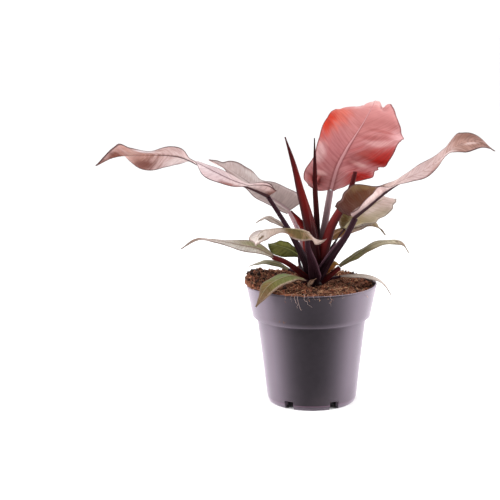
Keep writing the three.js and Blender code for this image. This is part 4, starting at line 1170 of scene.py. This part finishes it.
class PlantSizes(bpy.types.PropertyGroup):
    """Sizes and counts that a user may change"""

    pot_segments: count_property("Pot segments", "Faces round the pot", 192, 48, 384)
    crumbs: count_property("Crumbs", "Loose crumbs of coir and peat", 2600, 0, 6000)
    fibres: count_property("Fibres", "Loose coir fibres", 1300, 0, 3000)
    seed: count_property("Seed", "Start of the random draws", 8, 0, 9999)
    blade_thickness: length_property("Blade thickness", "Thickness of a leaf blade inside its margin", 0.6)
    crumb_size: length_property("Crumb size", "Largest half-width of a common crumb", 1.15)
    fibre_length: length_property("Fibre length", "Length of the longest coir fibre", 9)


def pot_outline():
    """Half of the pot cut through, from the middle of its foot round the outside and back inside"""
    slope = (COLLAR_FOOT_RADIUS - RIM_RADIUS) / (COLLAR_FOOT_Z - POT_HEIGHT)
    ledge_z = COLLAR_FOOT_Z + WALL
    ring_inner = FOOT_RADIUS - FOOT_RING_WIDTH
    return [
        (0, 0), (PAD_RADIUS - 0.4, 0), (PAD_RADIUS, 0.3), (PAD_RADIUS + 1, FLOOR_Z),
        (ring_inner - 0.6, FLOOR_Z), (ring_inner, 0.4), (ring_inner + 0.4, 0),
        (FOOT_RADIUS - 0.5, 0), (FOOT_RADIUS, 0.5), (BODY_FOOT_RADIUS - 0.2, BODY_FOOT_Z - 0.6),
        (BODY_FOOT_RADIUS, BODY_FOOT_Z), (BODY_FOOT_RADIUS + 0.1, BODY_FOOT_Z + 0.8),
        (BODY_TOP_RADIUS - 0.25, COLLAR_FOOT_Z - 2.5), (BODY_TOP_RADIUS - 0.05, COLLAR_FOOT_Z - 0.6),
        (BODY_TOP_RADIUS + 0.5, COLLAR_FOOT_Z), (COLLAR_FOOT_RADIUS - 0.9, COLLAR_FOOT_Z),
        (COLLAR_FOOT_RADIUS - 0.25, COLLAR_FOOT_Z + 0.1), (COLLAR_FOOT_RADIUS, COLLAR_FOOT_Z + 0.45),
        (COLLAR_FOOT_RADIUS + slope * 3, COLLAR_FOOT_Z + 4),
        (RIM_RADIUS - slope * 2, POT_HEIGHT - 2), (RIM_RADIUS - 0.05, POT_HEIGHT - 0.8),
        (RIM_RADIUS - 0.15, POT_HEIGHT - 0.25), (RIM_RADIUS - 0.5, POT_HEIGHT),
        (RIM_RADIUS - WALL + 0.3, POT_HEIGHT), (RIM_RADIUS - WALL, POT_HEIGHT - 0.3),
        (COLLAR_FOOT_RADIUS - WALL, ledge_z + 1), (BODY_TOP_RADIUS - WALL, ledge_z),
        (BODY_FOOT_RADIUS - WALL, FLOOR_Z + WALL), (PAD_RADIUS + 1 - WALL, FLOOR_Z + WALL),
        (PAD_RADIUS - WALL, WALL), (0, WALL),
    ]


class PLANT_OT_pot(bpy.types.Operator):
    """Nursery pot with its rolled rim, collar, foot ring and drain notches"""

    bl_idname = "plant.pot"
    bl_label = "Pot"

    def execute(self, context):
        segments = context.scene.plant_sizes.pot_segments
        turned = bmesh.new()
        rings = [turned.verts.new((r * MM, 0, z * MM)) for r, z in pot_outline()]
        edges = [turned.edges.new(pair) for pair in zip(rings, rings[1:])]
        bmesh.ops.spin(
            turned, geom=rings + edges, cent=(0, 0, 0), axis=(0, 0, 1),
            angle=2 * math.pi, steps=segments, use_merge=True,
        )
        bmesh.ops.remove_doubles(turned, verts=turned.verts, dist=1e-6)
        bmesh.ops.recalc_face_normals(turned, faces=turned.faces)
        mesh = bpy.data.meshes.new("nursery_pot")
        turned.to_mesh(mesh)
        turned.free()
        pot = placed("nursery_pot", mesh)
        cut_notches(pot)
        mesh = pot.data
        mesh.materials.append(pot_plastic(tuple(context.scene.plant_looks.pot)))
        mesh.polygons.foreach_set("use_smooth", np.ones(len(mesh.polygons), bool))
        mesh.set_sharp_from_angle(angle=math.radians(SHARP_DEG))
        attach(pot, BODY)
        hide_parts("pot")
        return {"FINISHED"}


def cut_notches(pot):
    """Takes the drain notches out of the foot ring and the lowest edge of the wall"""
    cutter_mesh = bpy.data.meshes.new("notches")
    made = bmesh.new()
    reach = FOOT_RADIUS - PAD_RADIUS
    start = FOOT_RADIUS - FOOT_RING_WIDTH - 2
    for i in range(NOTCHES):
        turn = Euler((0, 0, math.radians(NOTCH_FIRST_DEG + i * 360 / NOTCHES))).to_matrix().to_4x4()
        box = bmesh.ops.create_cube(made, size=1.0)["verts"]
        bmesh.ops.scale(made, verts=box, vec=(reach * MM, NOTCH_WIDTH * MM, 2 * NOTCH_HEIGHT * MM))
        bmesh.ops.translate(made, verts=box, vec=((start + reach / 2) * MM, 0, 0))
        bmesh.ops.transform(made, verts=box, matrix=turn)
    made.to_mesh(cutter_mesh)
    made.free()
    cutter = placed("notches", cutter_mesh)
    cut = pot.modifiers.new("notches", "BOOLEAN")
    cut.operation, cut.solver, cut.object = "DIFFERENCE", "EXACT", cutter
    ready = pot.evaluated_get(bpy.context.evaluated_depsgraph_get())
    shaped = bpy.data.meshes.new_from_object(ready)
    pot.modifiers.clear()
    pot.data = shaped
    bpy.data.objects.remove(cutter)


def soil_rings(angle):
    """Radius and height of the soil's rings, from its middle out and down, and how many of them show"""
    over = spill(angle)
    spills = over > 0
    edge = RIM_RADIUS - WALL - SOIL_GAP
    rings = []
    for share in np.linspace(0.012, 0.97, SOIL_RINGS):
        r = np.full(SOIL_SPOKES, share * edge)
        rings.append((r, soil_height(np.cos(angle) * r, np.sin(angle) * r)))
    r = edge + over * 2.5
    z = soil_height(np.cos(angle) * r, np.sin(angle) * r)
    top = np.where(spills, np.maximum(z - 1, POT_HEIGHT + 1.6), np.minimum(z, POT_HEIGHT - 0.5))
    rings.append((np.where(spills, r, soil_radius(POT_HEIGHT - 0.5)), top))
    low = np.where(spills, POT_HEIGHT + 0.5, POT_HEIGHT - 1.2)
    rings.append((np.where(spills, edge + over * 3.2, soil_radius(POT_HEIGHT - 1.2)), low))
    shown = len(rings)
    z = np.where(spills, POT_HEIGHT + 0.4, POT_HEIGHT - 1.6)
    rings.append((soil_radius(np.minimum(z, POT_HEIGHT - 1)), z))
    for r, z in (
        (soil_radius(POT_HEIGHT - 4), POT_HEIGHT - 4),
        (BODY_TOP_RADIUS - WALL - SOIL_GAP, COLLAR_FOOT_Z + WALL + SOIL_GAP),
        (BODY_FOOT_RADIUS - WALL - SOIL_GAP, FLOOR_Z + WALL + SOIL_GAP),
    ):
        rings.append((np.full(SOIL_SPOKES, r), np.full(SOIL_SPOKES, z)))
    return rings, shown


class PLANT_OT_soil(bpy.types.Operator):
    """Potting mix that fills the pot, heaps up at the left and spills over the rim there"""

    bl_idname = "plant.soil"
    bl_label = "Soil"

    def execute(self, context):
        angle = np.linspace(0, 2 * math.pi, SOIL_SPOKES, endpoint=False)
        rings, shown = soil_rings(angle)
        grid = [np.stack([np.cos(angle) * r, np.sin(angle) * r, z], -1) for r, z in rings]
        grid = np.stack(grid)[:, ::-1]
        tops = grid[:shown].reshape(-1, 3)
        rough = lumpy(tops, 0.16, 1.5, 1) + lumpy(tops, 0.5, 0.9, 2)
        tops[:, 2] += np.maximum(rough, -2.5)
        grid[:shown] = tops.reshape(shown, SOIL_SPOKES, 3)
        points, faces, _ = tube_mesh(grid.mean(1), grid)
        tones = np.zeros(len(points))
        tones[:len(tops)] = 0.5 + 0.3 * lumpy(tops, 0.35, 1.0, 3)
        light = tuple(context.scene.plant_looks.soil)
        skin = soil_skin("potting_mix", srgb(34, 17, 12), light, srgb(184, 132, 98), 0.6)
        piece_of(
            "potting_mix", points, faces, [skin], tones=np.clip(tones, 0, 1), solids=["soil"],
        )
        return {"FINISHED"}


def scattered(draw, count):
    """Random spots on the soil, thicker at the left heap, as places and heights"""
    angle = draw.uniform(0, 2 * math.pi, count)
    out = np.sqrt(draw.uniform(0.01, 1, count)) * (RIM_RADIUS - WALL - 1.5)
    out += np.where(spill(angle) > 0.2, draw.uniform(0, 1, count) ** 3 * 4.5 * spill(angle), 0)
    x, y = np.cos(angle) * out, np.sin(angle) * out
    z = soil_height(x, y)
    return np.stack([x, y, z], -1)


class PLANT_OT_crumbs(bpy.types.Operator):
    """Loose crumbs and chips of coir on the soil"""

    bl_idname = "plant.crumbs"
    bl_label = "Crumbs"

    def execute(self, context):
        sizes = context.scene.plant_sizes
        draw = np.random.default_rng(sizes.seed)
        ball = bmesh.new()
        bmesh.ops.create_icosphere(ball, subdivisions=1, radius=1)
        shape = np.array([v.co for v in ball.verts])
        faces = np.array([[v.index for v in f.verts] for f in ball.faces])
        ball.free()
        places = scattered(draw, sizes.crumbs)
        points, polygons, tones = [], [], []
        for i, place in enumerate(places):
            size = draw.uniform(0.45, in_mm(sizes.crumb_size)) * (1.8 if draw.random() < 0.16 else 1)
            heaped = place[0] < LEFT_HEAP_X
            if heaped:
                size *= 1.4
            stretch = np.array([draw.uniform(0.6, 1.9), draw.uniform(0.6, 1.2), draw.uniform(0.45, 1.0)])
            jagged = shape * draw.uniform(0.7, 1.3, (len(shape), 1)) * size * stretch
            turn = np.array(Euler(draw.uniform(0, 2 * math.pi, 3)).to_matrix())
            points.append(jagged @ turn.T + place + [0, 0, size * 0.25])
            polygons.append(faces + i * len(shape))
            tones.append(np.full(len(shape), draw.uniform(0, 1) ** (2 if heaped else 1.2)))
        skin = soil_skin("coir_crumb", srgb(34, 16, 10), srgb(142, 84, 60), srgb(232, 190, 152), 0.35)
        piece_of(
            "soil_crumbs", np.concatenate(points), np.concatenate(polygons).tolist(),
            [skin], tones=np.concatenate(tones),
        )
        return {"FINISHED"}


def thread(start, heading, length, radius, draw, steps=7):
    """One thin curled fibre as rings in millimetres, lying from a start along a heading"""
    curl = draw.normal(0, 0.35, (steps, 3)) * [1, 1, 0.35]
    path = [np.array(start, float)]
    ahead = np.array(heading, float)
    for turn in curl:
        ahead = ahead + turn + [0, 0, -0.12]
        ahead = ahead / np.linalg.norm(ahead)
        path.append(path[-1] + ahead * length / steps)
    return thread_rings(np.array(path), radius, 4)


def thread_rings(path, radius, sides):
    """Rings of a thin tapering thread along a path"""
    along = np.gradient(path, axis=0)
    along /= np.linalg.norm(along, axis=1, keepdims=True)
    side = np.cross(along, [0.3, 0.2, 1.0])
    side /= np.linalg.norm(side, axis=1, keepdims=True)
    other = np.cross(along, side)
    a = np.linspace(0, 2 * math.pi, sides, endpoint=False)
    width = radius * (1 - 0.6 * np.linspace(0, 1, len(path)))[:, None]
    ring = side[:, None] * (np.cos(a) * width)[..., None] + other[:, None] * (np.sin(a) * width)[..., None]
    return path, path[:, None] + ring


def joined_threads(threads, tones):
    """Several threads as one mesh with a tone for each"""
    points, faces, shades, count = [], [], [], 0
    for (path, rings), tone in zip(threads, tones):
        some, polygons, _ = tube_mesh(path, rings)
        points.append(some)
        faces.extend([[k + count for k in face] for face in polygons])
        shades.append(np.full(len(some), tone))
        count += len(some)
    return np.concatenate(points), faces, np.concatenate(shades)


# Roots over the front rim: where they cross it, fall, lean and half-width in mm, and how pale they are
HANGING_ROOTS = [
    (-47, 7, -3, 0.13, 0.1), (-26, 3, 1, 0.1, 0.5), (-20, 5, -1, 0.1, 0.7), (-17.5, 11, 2, 0.13, 0.9),
    (-16, 13, 4, 0.12, 1), (-10.5, 10, 7, 0.11, 0.9), (-6, 4, -2, 0.1, 0.5), (-2, 3, 2, 0.1, 0.6),
    (3, 3, -1, 0.1, 0.5), (14, 9, -1, 0.11, 0.5), (24, 3, 1, 0.1, 0.3), (42, 4, 5, 0.12, 0.1),
]


def hanging_root(x, fall, lean, thick, draw, bends=6):
    """One fine root that comes out of the soil, lies over the rim and hangs down the collar"""
    y = -math.sqrt((RIM_RADIUS + 0.5) ** 2 - x**2)
    start = np.array([x, y + 4, POT_HEIGHT + 0.8])
    rim = np.array([x + lean * 0.2, y + 0.2, POT_HEIGHT + 0.9])
    path = [start, (start + rim) / 2 + [0.4, 0, 0.8], rim]
    wander = draw.normal(0, 0.7, (bends, 2))
    slope = (RIM_RADIUS - COLLAR_FOOT_RADIUS) / (POT_HEIGHT - COLLAR_FOOT_Z)
    for k, (aside, away) in enumerate(wander, 1):
        down = fall * k / bends
        out = slope * down - 0.55 - abs(away) * 0.4
        path.append(np.array([x + lean * k / bends + aside, y + out, POT_HEIGHT + 0.2 - down]))
    return thread_rings(Line(path).at(np.linspace(0, 1, 22)), thick, 6)


class PLANT_OT_fibres(bpy.types.Operator):
    """Coir fibres in the soil and fine roots that hang over the front rim"""

    bl_idname = "plant.fibres"
    bl_label = "Fibres and roots"

    def execute(self, context):
        sizes = context.scene.plant_sizes
        draw = np.random.default_rng(sizes.seed + 1)
        threads, tones = [], []
        for place in scattered(draw, sizes.fibres):
            turn = draw.uniform(0, 2 * math.pi)
            heading = (math.cos(turn), math.sin(turn), draw.uniform(0.0, 0.5))
            length = draw.uniform(3, in_mm(sizes.fibre_length))
            threads.append(thread(place + [0, 0, 0.6], heading, length, draw.uniform(0.12, 0.3), draw))
            tones.append(draw.uniform(0, 1))
        points, faces, shades = joined_threads(threads, tones)
        skin = soil_skin("coir_fibre", srgb(104, 56, 36), srgb(224, 178, 138), srgb(236, 206, 176), 0.3)
        piece_of("coir_fibres", points, faces, [skin], tones=shades)
        roots = [hanging_root(*root, draw) for *root, _ in HANGING_ROOTS]
        points, faces, shades = joined_threads(roots, [pale for *_, pale in HANGING_ROOTS])
        skin = soil_skin("fine_root", srgb(84, 62, 56), srgb(206, 178, 168), srgb(222, 200, 190), 0.3)
        piece_of("hanging_roots", points, faces, [skin], tones=shades)
        return {"FINISHED"}


class PLANT_OT_crown(bpy.types.Operator):
    """Short crown with the scars of old sheaths"""

    bl_idname = "plant.crown"
    bl_label = "Crown"

    def execute(self, context):
        share = np.linspace(0, 1, CROWN_STEPS + 1)[:, None]
        radius, height = (evenly(values, share) for values in zip(*CROWN_OUTLINE))
        a = np.linspace(0, 2 * math.pi, CROWN_SIDES, endpoint=False)
        radius = radius * (1 + 0.03 * np.sin(5 * a) + 0.025 * np.sin(2 * math.pi * share * 7))
        x, y = CROWN_X + radius * np.cos(a), CROWN_Y + radius * np.sin(a)
        middle = height * [0, 0, 1] + [CROWN_X, CROWN_Y, 0]
        rings = np.stack([x, y, np.broadcast_to(height, x.shape)], -1)
        points, faces, maps = tube_mesh(middle, rings)
        piece_of(
            "leaf_crown", points, faces, [stem_material("crown")],
            maps=maps, tones=np.zeros(len(points)), solids=["crown"],
        )
        return {"FINISHED"}


def stem_material(key):
    """The waxy material of that name, made the first time that it is asked for"""
    _, low, high, bright = STEM_SKINS[key]
    name = key + "_skin"
    return bpy.data.materials.get(name) or stem_skin(name, low, high, bright)


class PLANT_OT_spears(bpy.types.Operator):
    """Pointed red sheaths and rolled new leaves in the middle"""

    bl_idname = "plant.spears"
    bl_label = "Spears"

    def execute(self, context):
        for name, spear in SPEARS.items():
            centres, rings, bright = spear_rings(spear)
            points, faces, maps = tube_mesh(centres, rings)
            piece_of(
                name.replace("spear", "rolled_leaf").replace("sheath", "rolled_sheath"),
                points, faces, [stem_material(spear["skin"])], maps=maps,
                tones=np.append(bright, (0, 0)), solids=[name],
            )
        return {"FINISHED"}


class PLANT_OT_stalks(bpy.types.Operator):
    """Channelled leaf stalks with their sheathing feet"""

    bl_idname = "plant.stalks"
    bl_label = "Stalks"

    def execute(self, context):
        for name, leaf in LEAVES.items():
            centres, rings, pale = stalk_rings(leaf)
            points, faces, maps = tube_mesh(centres, rings)
            key = leaf.get("stalk_skin", "stalk")
            piece_of(
                name + "_petiole", points, faces, [stem_material(key)],
                maps=maps, tones=np.append(pale, (0, 0)), solids=[name + "_stalk"],
            )
        return {"FINISHED"}


def face_skins(key, veins):
    """Both faces' materials of a leaf finish"""
    made = []
    for side, values in zip(("upper", "under"), SKINS[key][1:]):
        name = f"{key}_{side}"
        made.append(bpy.data.materials.get(name) or leaf_skin(name, veins, **values))
    return made


class PLANT_OT_blades(bpy.types.Operator):
    """Waved leaf blades with ribs, pleats and veins"""

    bl_idname = "plant.blades"
    bl_label = "Leaf blades"

    def execute(self, context):
        thickness = in_mm(context.scene.plant_sizes.blade_thickness)
        for name, leaf in {**LEAVES, **SCRAPS}.items():
            points, faces, kinds, maps = blade_mesh(leaf, thickness)
            skins = face_skins(leaf["skin"], leaf["veins"])
            grown = name in LEAVES
            piece_of(
                name + ("_leaf" if grown else "_scrap"), points, faces,
                skins, face_skins=kinds, maps=maps, solids=[name + "_blade" if grown else name],
            )
        return {"FINISHED"}


class PLANT_OT_stage(bpy.types.Operator):
    """Pale floor, soft studio light and the camera at the photograph's angle"""

    bl_idname = "plant.stage"
    bl_label = "Stage"

    def execute(self, context):
        scene = context.scene
        mesh = bpy.data.meshes.new("studio_floor")
        reach = FLOOR_REACH
        corners = [(-reach, -reach, 0), (reach, -reach, 0), (reach, reach, 0), (-reach, reach, 0)]
        mesh.from_pydata(corners, [], [(0, 1, 2, 3)])
        paper = Skin("studio_paper", Roughness=0.7)
        floor_colour = tuple(scene.plant_looks.floor)
        shade = paper.tint(floor_colour, (0.8, 0.8, 0.8, 1), paper.noise(30.0), 0.02)
        mesh.materials.append(paper.dress(Base_Color=shade))
        floor = placed("studio_floor", mesh)
        add_room_light(scene)
        for name, place, width, height, watts in LAMPS:
            lamp = bpy.data.lights.new(name, "AREA")
            lamp.shape, lamp.size, lamp.size_y, lamp.energy = "RECTANGLE", width, height, watts
            holder = placed(name, lamp)
            holder.location = place
            ahead = Vector(LAMP_TARGET) - Vector(place)
            holder.rotation_euler = ahead.to_track_quat("-Z", "Y").to_euler()
        lens = bpy.data.cameras.new("camera")
        lens.lens, lens.sensor_width = CAMERA_LENS_MM, CAMERA_SENSOR_MM
        camera = placed("camera", lens)
        camera.location = CAMERA_PLACE
        pitch = Euler((math.radians(90 - CAMERA_PITCH_DEG), 0, 0)).to_matrix()
        roll = Euler((0, 0, math.radians(CAMERA_ROLL_DEG))).to_matrix()
        camera.rotation_euler = (pitch @ roll).to_euler()
        scene.camera = camera
        scene.view_settings.view_transform = "Standard"
        return {"FINISHED"}


def add_room_light(scene):
    """White surroundings, dimmer on the side that the camera stands on"""
    world = bpy.data.worlds.new("studio")
    world.use_nodes = True
    scene.world = world
    s = Shading(world.node_tree)
    along = s.split(s.node("TexCoord").outputs["Generated"])[1]
    background = world.node_tree.nodes["Background"].inputs
    shade = s.mix(s.between(along, -0.85, -0.1), (0.1, 0.1, 0.11, 1), (1, 1, 1, 1))
    s.feed(background["Color"], shade)
    s.feed(background["Strength"], ROOM_STRENGTH)


class PLANT_PT_panel(bpy.types.Panel):
    """Sidebar panel with the sizes, the colours and a button for each piece"""

    bl_idname = "PLANT_PT_panel"
    bl_label = "Potted philodendron"
    bl_space_type = "VIEW_3D"
    bl_region_type = "UI"
    bl_category = "Plant"

    def draw(self, context):
        for group in (context.scene.plant_sizes, context.scene.plant_looks):
            for key in type(group).__annotations__:
                self.layout.prop(group, key)
        for step in STEPS:
            self.layout.operator(step.bl_idname)


GROUPS = (PlantLooks, PlantSizes)
STEPS = (
    PLANT_OT_pot, PLANT_OT_soil, PLANT_OT_crumbs, PLANT_OT_fibres, PLANT_OT_crown,
    PLANT_OT_spears, PLANT_OT_stalks, PLANT_OT_blades, PLANT_OT_stage,
)


def register():
    for part in (*GROUPS, *STEPS, PLANT_PT_panel):
        bpy.utils.register_class(part)
    bpy.types.Scene.plant_looks = bpy.props.PointerProperty(type=PlantLooks)
    bpy.types.Scene.plant_sizes = bpy.props.PointerProperty(type=PlantSizes)


def unregister():
    del bpy.types.Scene.plant_looks
    del bpy.types.Scene.plant_sizes
    for part in reversed((*GROUPS, *STEPS, PLANT_PT_panel)):
        bpy.utils.unregister_class(part)


def main():
    register()
    for step in STEPS:
        group, action = step.bl_idname.split(".")
        getattr(getattr(bpy.ops, group), action)()


if __name__ == "__main__":
    main()
